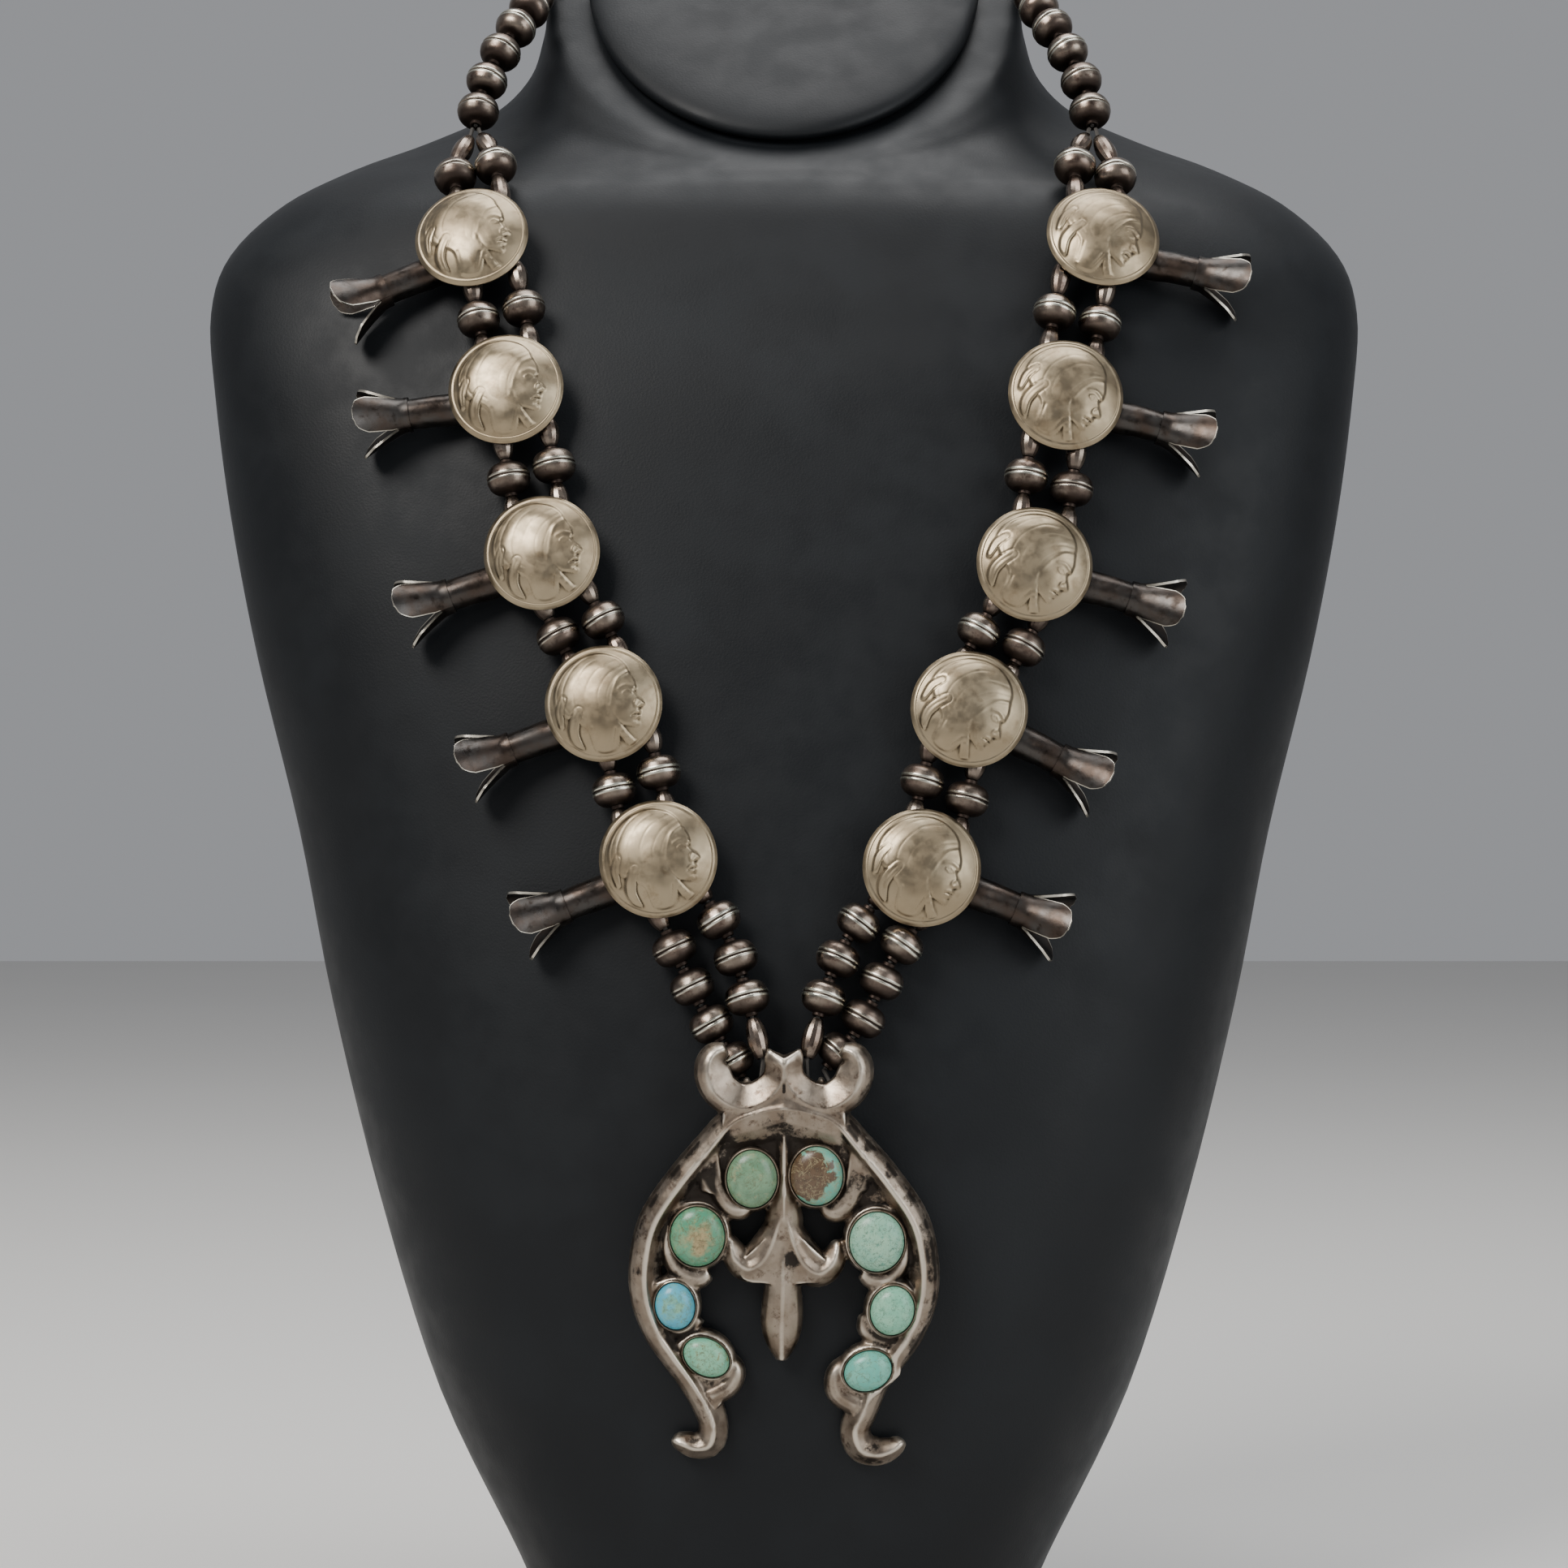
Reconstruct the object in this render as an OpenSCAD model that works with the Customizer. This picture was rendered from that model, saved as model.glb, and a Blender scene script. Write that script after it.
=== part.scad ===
/* [Neck bust] */
// Points round each section of the bust
bust_sides = 40; // [28:4:48]
// Thickness of the padded cap on the slanted neck
cap_thick = 4.5; // [3:0.5:6]
// Width of the gap between the cap and the neck
cap_gap = 0.3; // [0.2:0.1:0.4]

/* [Beads] */
// Diameter of a round bead at its two domes
bead_d = 7; // [6.6:0.1:7.1]
// Diameter of the ridge where the two domes meet
ridge_d = 7.3; // [7.2:0.1:7.4]
// Length of the two domes together
bead_body = 5.8; // [5.4:0.1:6]
// Length of the small collar at each end of a bead
collar = 0.55; // [0.4:0.05:0.7]
// Diameter of an olive at its middle
olive_d = 3.7; // [3.3:0.1:3.8]
// Length of an olive that lies in the open
olive_len = 7; // [6.4:0.1:7.2]
// Diameter of the hole through beads and olives
hole_d = 1.4; // [1.3:0.1:1.5]
// Gap between neighbours on a thread
bead_gap = 0.15; // [0.12:0.01:0.2]
// Diameter of the thread
thread_d = 0.8; // [0.6:0.1:0.9]
// Distance of a thread from the face of the bust
strand_height = 4.3; // [4.2:0.1:4.6]

/* [Blossoms] */
// Diameter of a domed coin
coin_d = 20.7; // [20:0.1:21]
// Height of the dome of a coin
dome_h = 3.4; // [2.8:0.1:3.8]
// Thickness of a coin
coin_thick = 1.1; // [0.9:0.1:1.3]
// Height of the head in relief above the dome
relief = 0.22; // [0.15:0.01:0.3]
// Height of the rim of a coin above the thread
rim_lift = 2.3; // [2.2:0.1:2.6]
// Diameter of the drilled cup behind a coin
cup_d = 13; // [12.6:0.1:13.4]
// Distance of each strand from the middle of a coin
strand_offset = 4.2; // [4.1:0.1:4.3]
// Length of a stem from the middle of its coin to its petals
stem_len = 19.4; // [18.5:0.1:20]
// Diameter of a stem
stem_d = 5.4; // [5:0.1:5.6]
// Length of a petal
petal_len = 8; // [7.6:0.1:8.6]
// Thickness of a petal
petal_thick = 0.6; // [0.5:0.05:0.8]

/* [Naja] */
// Height of the back of the naja above the bust at its top
naja_top_lift = 8.6; // [8.5:0.1:9]
// Height of the back of the naja above the bust at its feet
naja_foot_lift = 1; // [0.9:0.1:1.4]
// Thickness of the plate that carries the stones
plate_h = 2; // [1.8:0.1:2.2]
// Height of a bezel above the back of the naja
bezel_h = 3.5; // [3.3:0.1:3.7]
// Wall of a bezel
bezel_wall = 0.45; // [0.4:0.05:0.5]
// Height of the stones above their bezels
stone_rise = 1.9; // [1.6:0.1:2.1]

/* [Hidden] */

black = "#1c1d20";
silver = "#b9ab97";
dark_silver = "#7d7265";
coin_silver = "#b3a288";
thread_grey = "#6a6258";

// Sections of the bust from its foot to the rim of its neck.
// Columns: front y, front z, back y, back z, half width, squareness
bust_rows = [
  [-36, 0, 36, 0, 37, 2.6],
  [-42, 6, 40, 6, 43, 2.6],
  [-47, 20, 43, 20, 49, 2.6],
  [-50.5, 50, 46, 50, 63.5, 2.6],
  [-51.5, 85, 48, 85, 74.5, 2.6],
  [-49.5, 120, 50, 122, 83.5, 2.6],
  [-45.5, 150, 52, 155, 90, 2.6],
  [-41, 177, 54, 193, 98, 2.7],
  [-36, 203, 56, 221, 103.5, 2.8],
  [-30, 228, 58, 242, 107, 2.9],
  [-24, 244, 60, 257, 108.3, 3],
  [-19.5, 255, 61, 269, 105, 3],
  [-15, 265, 62, 279, 95, 2.9],
  [-11.5, 270, 62, 286.5, 83, 2.7],
  [-9, 272.5, 62, 293, 70, 2.5],
  [-7.5, 274, 62.5, 302, 57, 2.3],
  [-6.2, 275, 63.5, 315, 49.5, 2.15],
  [-5, 275.8, 65, 332, 46.5, 2.1],
  [-3, 277, 66, 347, 45, 2],
  [1, 279.3, 63.5, 350.5, 38.3, 2]];
top_row = len(bust_rows) - 1;

// Seats of the blossoms on the bust from the neck down.
// Columns: x, z, stem angle below level, stem drop, turn of the petals, turn of the coin,
// shift of the cup and its strands towards the middle of the necklace
left_seats = [
  [-55.8, 256.6, 29, 1, 4, 6, 2.4],
  [-48.9, 229, 8, 1, -6, 4, 1.6],
  [-42.1, 200, 19, 1.2, 6, 10, 1],
  [-31.1, 173.5, 21, 1.2, 8, 7, 1.8],
  [-21.5, 146.5, 22, 1.2, 4, 11, 0]];
right_seats = [
  [57, 256.7, 15, 1, 16, -30, 1.6],
  [49.5, 228, 16, 0, 4, -31, 0.3],
  [43.5, 198, 17, 0, 10, -34, 0],
  [31.9, 172.5, 28, 0, -4, -38, 0],
  [23.5, 145, 22, 0, 2, -20, 0]];

// Path of each lower strand below the last blossom. Columns: x, z, distance from the face of the bust
left_outer_run = [[-19, 132.2, 4.1], [-16.2, 125.2, 4], [-12.4, 118.4, 3.9], [-8.6, 111.6, 3.9]];
left_inner_run = [[-10.6, 136, 4.1], [-7.9, 129.3, 4.4], [-6.3, 122.8, 5.2], [-3.7, 112.8, 6.5]];
right_outer_run = [[19.9, 132.4, 4.1], [16.8, 126.2, 4], [13.8, 118.6, 3.9], [8.9, 113, 3.9]];
right_inner_run = [[12.6, 136.2, 4.1], [9, 129.6, 4.4], [6.6, 122.6, 5.2], [4, 112.6, 6.6]];

// Path of the right half of the single strand, from the split to the middle of the back. The left half
// mirrors it. Columns: x, y, z
neck_path = [[57.3, -1.8, 282.2], [57.2, 0.5, 286], [55.6, 4.2, 292.5], [53, 7.6, 298.8], [50.3, 12.2, 304.2],
  [47.8, 17.5, 308.8], [47.8, 24.5, 312.3], [49.2, 34.3, 316.6], [47.2, 45, 320.6], [40.4, 55, 324.3],
  [30, 63.2, 327], [17, 68.6, 328.7], [7.5, 70.1, 329], [0, 70.2, 329]];

// Upper ends of the two round beads below the split, outer strand first. Columns: x, y, z
split_knees = [[60.7, -8.5, 274.6], [53.5, -8.2, 276.6]];

// Stones of the naja and the points of the arms that carry them.
// Columns: x, y, half width, half height, turn, carrier x, carrier y
left_stones = [[-5.5, -22.9, 4.3, 5, 0, -11.4, -17.5], [-14.9, -33, 4.7, 5.2, 0, -21, -29.5],
  [-18.8, -45.2, 3.4, 4.1, 8, -23, -43.5], [-13.5, -53.8, 4, 3.4, -35, -18, -54]];
right_stones = [[5.6, -22.4, 4.5, 5.1, 0, 11.4, -17.5], [16, -33.9, 4.7, 5.2, 0, 21.5, -31],
  [18.7, -46, 3.8, 4.2, 0, 23, -45], [14.4, -56.6, 4.1, 3.6, 30, 18.5, -56.5]];

// Cast members of the naja, along their middles. Columns: x, y, half width, height
horn_rows = [[-9.9, -0.6, 0.9, 2.6], [-11.9, -1.9, 2.3, 3.6], [-12.4, -4.6, 3, 4.2], [-11, -7.8, 3.1, 4.4],
  [-7.6, -9.8, 3, 4.4], [-4.2, -9.2, 2.8, 4.4], [-1.8, -6.6, 2.2, 4.2], [-1, -3.6, 2.1, 4.1],
  [-1, -0.7, 2.1, 3.7]];
arm_rows = [[0.5, -10.4, 2.1, 4.9], [-4.5, -11.3, 2.2, 4.7], [-9, -13.4, 2.4, 4.5], [-13, -18, 2.6, 4.4],
  [-17.6, -23.6, 2.7, 4.3],
  [-22.2, -30.6, 2.7, 4.3], [-23.9, -37.7, 2.7, 4.3], [-23.8, -43.8, 2.7, 4.2], [-22, -49.5, 2.6, 4.1],
  [-19.2, -54, 2.5, 4], [-16, -58.6, 2.4, 3.9]];
left_foot = [[-13.3, -63.3, 2.5, 3.8], [-12.2, -67.6, 2.5, 3.7], [-13.6, -70.4, 2.2, 3.4],
  [-16.6, -71, 1.6, 2.8], [-19, -70.2, 0.5, 1.8]];
right_foot = [[13.5, -64.4, 2.5, 3.8], [12.6, -68.9, 2.5, 3.7], [14.3, -71.8, 2.2, 3.4],
  [17.4, -72, 1.6, 2.8], [20.5, -70, 0.5, 1.8]];
drop_rows = [[0, -12, 1.8, 3.3], [0, -18, 1.7, 3.6], [0, -22.5, 1.4, 3.8], [0, -26.5, 2.2, 4.1],
  [0, -30.5, 3.2, 4], [0, -34, 2.6, 3.4]];
leaf_rows = [[-0.1, -35, 1.8, 3.5], [-0.2, -38, 2.8, 3.9], [-0.2, -41.4, 2.8, 4.2], [-0.3, -46, 3.1, 4.1],
  [-0.4, -49.5, 3.1, 3.8], [-0.4, -52.8, 2.1, 3], [-0.4, -54.8, 0.8, 1.8]];
fluke_rows = [[-0.2, -37.2, 3.5, 3.8], [-3.4, -38.4, 3.2, 3.7], [-6.4, -38, 2.8, 3.5], [-8.6, -36.3, 2, 3.1],
  [-9.4, -34.4, 1.1, 2.4], [-9.5, -33.5, 0.5, 1.8]];
// Webs that fill between the members of the right half: each row is one round of x, y, radius and height
webs = [[[2, -8.6, 1.4, 3.9], [9.6, -10.6, 1.5, 3.9], [9, -12.6, 1.5, 3.9], [0, -10.4, 1.5, 3.9]],
  [[-0.5, -11.9, 1.1, 4.5], [8.6, -14, 1.1, 4], [-0.5, -14.4, 1.1, 2.9], [9, -16.2, 1.1, 2.9]],
  [[12, -18, 1.5, 2.3], [8, -13.6, 1.5, 2.3], [0, -12, 1.5, 2.3], [0, -19, 1.5, 2.3], [7, -20, 1.5, 2.3]],
  [[-0.6, -30.4, 1.7, 3.6], [-0.6, -37.6, 2.1, 3.4], [4.4, -37.7, 2.3, 3.1], [3.1, -35.2, 1.1, 3.3]]];
left_scrolls = [
  [[-12, -19.6, 1.3, 2.8], [-11.5, -24.2, 1.7, 3.2], [-9.7, -27.6, 2.1, 3.2], [-7.5, -28.4, 2.1, 3],
    [-5.9, -27.9, 1.2, 2.4]],
  [[-20, -30.6, 1.2, 2.6], [-20, -35.6, 1.4, 2.9], [-18, -39.2, 1.9, 3.1], [-15.1, -40.5, 2.2, 3],
    [-13, -39.6, 1.4, 2.4]],
  [[-19.4, -50.4, 1.2, 2.6], [-16.4, -49.6, 1.3, 2.7], [-14.9, -47.6, 1.2, 2.5]],
  [[-9.4, -54.6, 0.8, 2.4], [-8.4, -57, 1.6, 3], [-9.6, -59.6, 2, 3.2], [-12.8, -61.4, 2, 3.4]]];
right_scrolls = [
  [[12.6, -19.6, 1.5, 2.8], [12.2, -23.8, 2, 3.2], [10.8, -27.2, 2.4, 3.2], [8.7, -28.7, 2.3, 3],
    [6.8, -28, 1.3, 2.4]],
  [[21.2, -33, 1.2, 2.6], [20.6, -37.4, 1.5, 2.9], [18.3, -40.4, 1.9, 3.1], [15.7, -40.8, 2.1, 3],
    [13.7, -39.5, 1.4, 2.4]],
  [[20.6, -51.4, 1.2, 2.6], [16.8, -51.6, 1.4, 2.8], [14.3, -49.8, 1.5, 2.6], [13.9, -47.2, 0.8, 2.2]],
  [[10.6, -55.2, 0.8, 2.4], [9, -57.6, 1.6, 3], [9.6, -60.9, 2.2, 3.2], [12.8, -63, 2, 3.4]]];

// Outline of the head on a coin, from the hairline down the face, round the braid, the neck and the two
// feathers, and over the hair
head_outline = [[5.2, 4.9], [6.1, 3.2], [6.3, 1.7], [5.9, 1], [6.5, 0], [7.5, -1.3], [6.4, -1.9], [6.7, -2.6],
  [6.3, -3], [6.5, -3.4], [6, -3.9], [6.2, -4.8], [5.5, -5.3], [3.5, -4.9], [4.8, -7], [3.8, -7.9],
  [2.2, -6.6], [1.4, -8.8], [-1.8, -8.7], [-2.9, -4.9], [-4.2, -7.6], [-5.3, -6.9], [-5.1, -3.9],
  [-6.8, -5.4], [-7.8, -3.9], [-7.6, -1.4], [-8.6, 0.6], [-8.2, 3.4], [-6.3, 6.3], [-3.4, 8.3], [0, 8.9],
  [3, 7.9], [4.6, 6.4]];

split_gap = 3;
curve_gap = 0.42;
cup_clear = 0.35;
clasp_len = 12;
bead_len = bead_body + 2 * collar;
seat_count = len(left_seats);
dome_radius = (pow(coin_d / 2, 2) + pow(dome_h, 2)) / (2 * dome_h);
cup_reach = sqrt(pow(cup_d / 2, 2) - pow(strand_offset - 1.1, 2)) + cup_clear;
naja_top = [0, 115];
naja_foot = [0, 45];

// Vectors
function unit(v) = v / norm(v);
function polar(r, a) = [r * cos(a), r * sin(a)];
function curve(p, u) = let (n = len(p) - 1, i = min(floor(u), n - 1), t = u - i, a = p[max(i - 1, 0)],
  b = p[i], c = p[i + 1], d = p[min(i + 2, n)])
  0.5 * (2 * b + (c - a) * t + (2 * a - 5 * b + 4 * c - d) * t * t + (3 * b - a - 3 * c + d) * t * t * t);
function frame_at(p, out, up) = let (z = unit(out), y = unit(up - (up * z) * z), x = cross(y, z))
  [[x[0], y[0], z[0], p[0]], [x[1], y[1], z[1], p[1]], [x[2], y[2], z[2], p[2]], [0, 0, 0, 1]];
function placed(m, p) = let (q = m * [p[0], p[1], p[2], 1]) [q[0], q[1], q[2]];
function path_length(p, i = 0) = i >= len(p) - 1 ? 0 : norm(p[i + 1] - p[i]) + path_length(p, i + 1);
function along(p, s, i = 0) = let (d = norm(p[i + 1] - p[i]))
  s <= d || i >= len(p) - 2 ? p[i] + unit(p[i + 1] - p[i]) * s : along(p, s - d, i + 1);

// Skin of the bust. A section is a squared oval on a plane that may slant back
function on_section(row, x_part, y_part) = [row[4] * x_part,
  (row[0] + row[2]) / 2 + y_part * (row[2] - row[0]) / 2,
  (row[1] + row[3]) / 2 + y_part * (row[3] - row[1]) / 2];
function squared(v, power) = sign(v) * pow(abs(v), 2 / power);
function skin(u, a) = let (row = curve(bust_rows, u))
  on_section(row, squared(cos(a), row[5]), squared(sin(a), row[5]));
function front_at(u, x) = let (row = curve(bust_rows, u), part = min(abs(x) / row[4], 1))
  on_section(row, x / row[4], -pow(1 - pow(part, row[5]), 1 / row[5]));
function front_row(x, z, low = 0, high = top_row, n = 26) = let (m = (low + high) / 2)
  n == 0 ? m : front_at(m, x)[2] < z ? front_row(x, z, m, high, n - 1) : front_row(x, z, low, m, n - 1);
function front_point(x, z) = front_at(front_row(x, z), x);
function front_normal(x, z) = let (e = 0.5)
  unit([(front_point(x + e, z)[1] - front_point(x - e, z)[1]) / (2 * e), -1,
    (front_point(x, z + e)[1] - front_point(x, z - e)[1]) / (2 * e)]);
function over_front(x, z, h) = front_point(x, z) + h * front_normal(x, z);

// A tube or cast member swept along a path. Each ring is a list of points
function ring_faces(rings, sides) = concat([[for (k = [0:sides - 1]) k]],
  [for (i = [0:rings - 2], k = [0:sides - 1]) let (a = i * sides + k, b = i * sides + (k + 1) % sides)
    each [[a, b + sides, b], [a, a + sides, b + sides]]],
  [[for (k = [sides - 1:-1:0]) (rings - 1) * sides + k]]);
module skinned(rings) {
  polyhedron(points = [for (r = rings) each r], faces = ring_faces(len(rings), len(rings[0])), convexity = 6);
}

// Frames of the blossoms: origin on the threads' level, y up the necklace, z out of the bust
function seat_point(seats, i) = over_front(seats[i][0], seats[i][1], strand_height);
function below(seats, i) = i < seat_count - 1 ? seat_point(seats, i + 1) :
  let (side = side_of(seats), p = (run_of(side, true)[0] + run_of(side, false)[0]) / 2)
  over_front(p[0], p[1], p[2]);
function seat_up(seats, i) = seat_point(seats, max(i - 1, 0)) - below(seats, i);
function seat_frame(seats, i) = frame_at(seat_point(seats, i), front_normal(seats[i][0], seats[i][1]),
  seat_up(seats, i));
function side_of(seats) = seats[0][0] < 0 ? -1 : 1;
function cup_end(seats, i, outer, up) = placed(seat_frame(seats, i),
  [side_of(seats) * ((outer ? 1 : -1) * strand_offset - seats[i][6]), (up ? 1 : -1) * cup_reach, 0]);

// Paths of the strands
function mirrored(p, side) = [side * p[0], p[1], p[2]];
function neck_route(side) = [for (u = [0:0.5:len(neck_path) - 1]) mirrored(curve(neck_path, u), side)];
function split_point(side) = mirrored(neck_path[0], side);
function top_path(side, outer) = [cup_end(seats_of(side), 0, outer, true),
  mirrored(split_knees[outer ? 0 : 1], side), split_point(side)];
function low_path(side, outer) = concat([cup_end(seats_of(side), seat_count - 1, outer, false)],
  [for (p = run_of(side, outer)) over_front(p[0], p[1], p[2])]);

// Items of a strand laid one after another. Columns of an item: length, is it a round bead, start, end
function laid(path, items, s, gap, i = 0) = i >= len(items) ? [] :
  concat([[items[i][0], items[i][1], along(path, s), along(path, s + items[i][0])]],
    laid(path, items, s + items[i][0] + gap, gap, i + 1));
function spaced(path) = let (olive = (path_length(path) - bead_len - 4 * bead_gap) / 2)
  laid(path, [[olive, false], [bead_len, true], [olive, false]], bead_gap, bead_gap);
function top_items(path) = laid(path, [[norm(path[1] - path[0]) - bead_len - 2 * bead_gap, false],
  [bead_len, true], [norm(path[2] - path[1]) - split_gap - bead_gap, false]], bead_gap, bead_gap);
function low_items(side, outer) = outer ?
  [[low_olives(side)[0], false], for (k = [1:4]) [bead_len, true]] :
  [[low_olives(side)[1], false], for (k = [1:3]) [bead_len, true], [olive_len, false]];
function seats_of(side) = side < 0 ? left_seats : right_seats;
function run_of(side, outer) = side < 0 ? (outer ? left_outer_run : left_inner_run) :
  (outer ? right_outer_run : right_inner_run);
function low_olives(side) = side < 0 ? [5.2, 3.7] : [3.8, 3.2];
function between(side, i, outer) =
  [cup_end(seats_of(side), i, outer, false), cup_end(seats_of(side), i + 1, outer, true)];
function strand(side, outer) = concat(
  top_items(top_path(side, outer)),
  [for (i = [0:seat_count - 2]) each spaced(between(side, i, outer))],
  laid(low_path(side, outer), low_items(side, outer), bead_gap, curve_gap));
function neck_items(side) = let (path = neck_route(side),
  count = floor((path_length(path) - split_gap / 4 - clasp_len / 2) / (bead_len + curve_gap)))
  laid(path, [for (k = [1:count]) [bead_len, true]], split_gap / 4, curve_gap);

// A round bead or an olive along z, centred, and drilled
module round_bead() {
  shoulder = bead_body / 2 - 0.35;
  difference() {
    rotate_extrude($fn = 48) {
      for (turn = [0, 1]) mirror([0, turn]) intersection() {
        translate([bead_d / 2 - shoulder, 0.3]) circle(r = shoulder, $fn = 48);
        translate([bead_d / 2 - shoulder, 0]) square([shoulder, bead_body]);
      }
      translate([0, -bead_body / 2 + 0.05]) square([bead_d / 2 - shoulder + 0.05, bead_body - 0.1]);
      translate([0, -bead_len / 2]) square([1.1, bead_len]);
      translate([0, -0.42]) square([ridge_d / 2, 0.32]);
      translate([0, 0.1]) square([ridge_d / 2, 0.32]);
      translate([0, -0.2]) square([ridge_d / 2 - 0.2, 0.4]);
    }
    cylinder(d = hole_d, h = 2 * bead_len, center = true, $fn = 32);
  }
}
module olive(length) {
  end_r = 1;
  bulge = (pow(length / 2, 2) + pow(olive_d / 2 - end_r, 2)) / (2 * (olive_d / 2 - end_r));
  difference() {
    rotate_extrude($fn = 48) intersection() {
      translate([olive_d / 2 - bulge, 0]) circle(r = bulge, $fn = 96);
      translate([0, -length / 2]) square([olive_d, length]);
    }
    cylinder(d = hole_d, h = 2 * length, center = true, $fn = 32);
  }
}
module string_of(items) {
  color(silver) for (t = items)
    multmatrix(frame_at((t[2] + t[3]) / 2, t[3] - t[2], [0.31, -0.62, 0.72]))
      if (t[1]) round_bead();
      else olive(t[0]);
}

// A thread along a list of points
module thread(points, ref) {
  sides = 5;
  last = len(points) - 1;
  color(thread_grey) skinned([for (i = [0:last])
    let (d = unit(points[min(i + 1, last)] - points[max(i - 1, 0)]), e1 = unit(cross(ref, d)),
      e2 = cross(d, e1))
    [for (k = [0:sides - 1]) points[i] + thread_d / 2 *
      (cos(k * 360 / sides) * e1 + sin(k * 360 / sides) * e2)]]);
}
function ends_of(items) = [for (t = items) each [t[2], t[3]]];
function back(points) = [for (k = [len(points) - 1:-1:0]) points[k]];
function through(side, outer) = let (seats = seats_of(side)) concat(
  back(ends_of(top_items(top_path(side, outer)))),
  [for (i = [0:seat_count - 1]) each concat([cup_end(seats, i, outer, true), cup_end(seats, i, outer, false)],
    i < seat_count - 1 ? ends_of(spaced(between(side, i, outer))) : [])],
  let (items = laid(low_path(side, outer), low_items(side, outer), bead_gap, curve_gap),
    tail = items[len(items) - 1])
    concat(ends_of(items), [tail[3] + 0.6 * unit(tail[3] - tail[2])]));
module strand_thread(side) {
  start = split_point(side);
  shift = [side * thread_d * 0.75, 0, 0];
  thread(concat([start + shift], through(side, true), [for (x = [2.2, 0, -2.2])
    placed(naja_frame, [side * (hole_x + x), ring_y, ring_z])], back(through(side, false)), [start - shift]),
    [0, -1, 0]);
}
module neck_thread(side) {
  items = neck_items(side);
  path = neck_route(side);
  total = path_length(path);
  thread(concat([along(path, 0.9)], ends_of(items), [along(path, total - clasp_len / 2 + 1.5)]),
    [0, -0.6, 0.8]);
}

// The bust and its cap
module neck_bust() {
  color(black) skinned([for (u = [0:0.5:top_row])
    [for (k = [0:bust_sides - 1]) skin(u, k * 360 / bust_sides)]]);
}
module neck_cap() {
  row = bust_rows[top_row];
  middle = on_section(row, 0, 0);
  slope = on_section(row, 0, 1) - on_section(row, 0, -1);
  normal = unit(cross([1, 0, 0], slope));
  half = [row[4] - 0.6, norm(slope) / 2 - 0.6];
  levels = [[0.95, 0], [1, 0.25], [1, 0.5], [0.93, 0.82], [0.7, 1]];
  color(black) skinned([for (l = levels) [for (k = [0:bust_sides - 1])
    let (a = k * 360 / bust_sides) middle + normal * (cap_gap + l[1] * cap_thick)
      + l[0] * (half[0] * cos(a) * [1, 0, 0] + half[1] * sin(a) * unit(slope))]]);
}

// A blossom: coin, cup, stem and petals, soldered as one
module coin(turn) {
  middle = rim_lift + dome_h - dome_radius;
  translate([0, 0, middle]) intersection() {
    difference() {
      sphere(r = dome_radius, $fn = 96);
      sphere(r = dome_radius - coin_thick, $fn = 96);
    }
    translate([-coin_d, -coin_d, rim_lift - middle]) cube([2 * coin_d, 2 * coin_d, coin_d]);
  }
  translate([0, 0, middle]) difference() {
    intersection() {
      sphere(r = dome_radius + relief, $fn = 96);
      rotate([0, 0, turn]) translate([0, 0, rim_lift - middle]) linear_extrude(height = 2 * dome_h)
        polygon(head_outline);
    }
    sphere(r = dome_radius - coin_thick / 2, $fn = 96);
  }
  rotate_extrude($fn = 96) translate([coin_d / 2 - 0.5, rim_lift + 0.15]) circle(r = 0.45, $fn = 24);
}
module cup(shift) {
  middle = rim_lift + dome_h - dome_radius;
  difference() {
    intersection() {
      translate([shift, 0, -2.6]) cylinder(d = cup_d, h = 10, $fn = 64);
      translate([0, 0, middle]) sphere(r = dome_radius - coin_thick / 2, $fn = 96);
    }
    for (side = [-1, 1]) translate([shift + side * strand_offset, 0, 0]) rotate([90, 0, 0])
      cylinder(d = hole_d, h = 2 * cup_d, center = true, $fn = 32);
  }
}
module trumpet(turn, start) {
  wall = petal_thick;
  r = stem_d / 2;
  flare = [[r, 0], [r + 0.45, 0.15], [r + 1.25, 0.4], [r + 2.2, 0.66], [r + 3.1, 0.88], [r + 3.6, 1]];
  slit = [[0.15, 0.07], [0.35, 0.22], [0.7, 0.32], [1.25, 0.5], [2, 0.72], [2.85, 0.84], [3.7, 0.94],
    [4.6, 0.972], [5.8, 1.06]];
  difference() {
    rotate_extrude($fn = 64) polygon(concat([[0, start], [r, start]],
      [for (f = flare) [f[0], stem_len + petal_len * f[1]]],
      [for (k = [len(flare) - 1:-1:0]) [flare[k][0] - wall, stem_len + petal_len * flare[k][1] + 0.5 * wall]],
      [[r - wall, stem_len - 3], [0, stem_len - 3]]));
    for (k = [0:2]) rotate([0, 0, turn + 60 + 120 * k]) translate([0.4, 0, 0]) rotate([0, 90, 0])
      linear_extrude(height = 12) polygon(concat([for (c = slit) [-stem_len - petal_len * c[1], c[0]]],
        [for (j = [len(slit) - 1:-1:0]) [-stem_len - petal_len * slit[j][1], -slit[j][0]]]));
  }
}
function stem_frame(seats, i) = let (f = seat_frame(seats, i), n = front_normal(seats[i][0], seats[i][1]),
  side = side_of(seats), d = [side * cos(seats[i][2]), 0, -sin(seats[i][2])],
  flat = unit(d - (d * n) * n), low = cross(flat, n) * side)
  [[n[0], cross(flat, n)[0], flat[0], f[0][3] + low[0] * seats[i][3]],
   [n[1], cross(flat, n)[1], flat[1], f[1][3] + low[1] * seats[i][3]],
   [n[2], cross(flat, n)[2], flat[2], f[2][3] + low[2] * seats[i][3]], [0, 0, 0, 1]];
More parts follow.
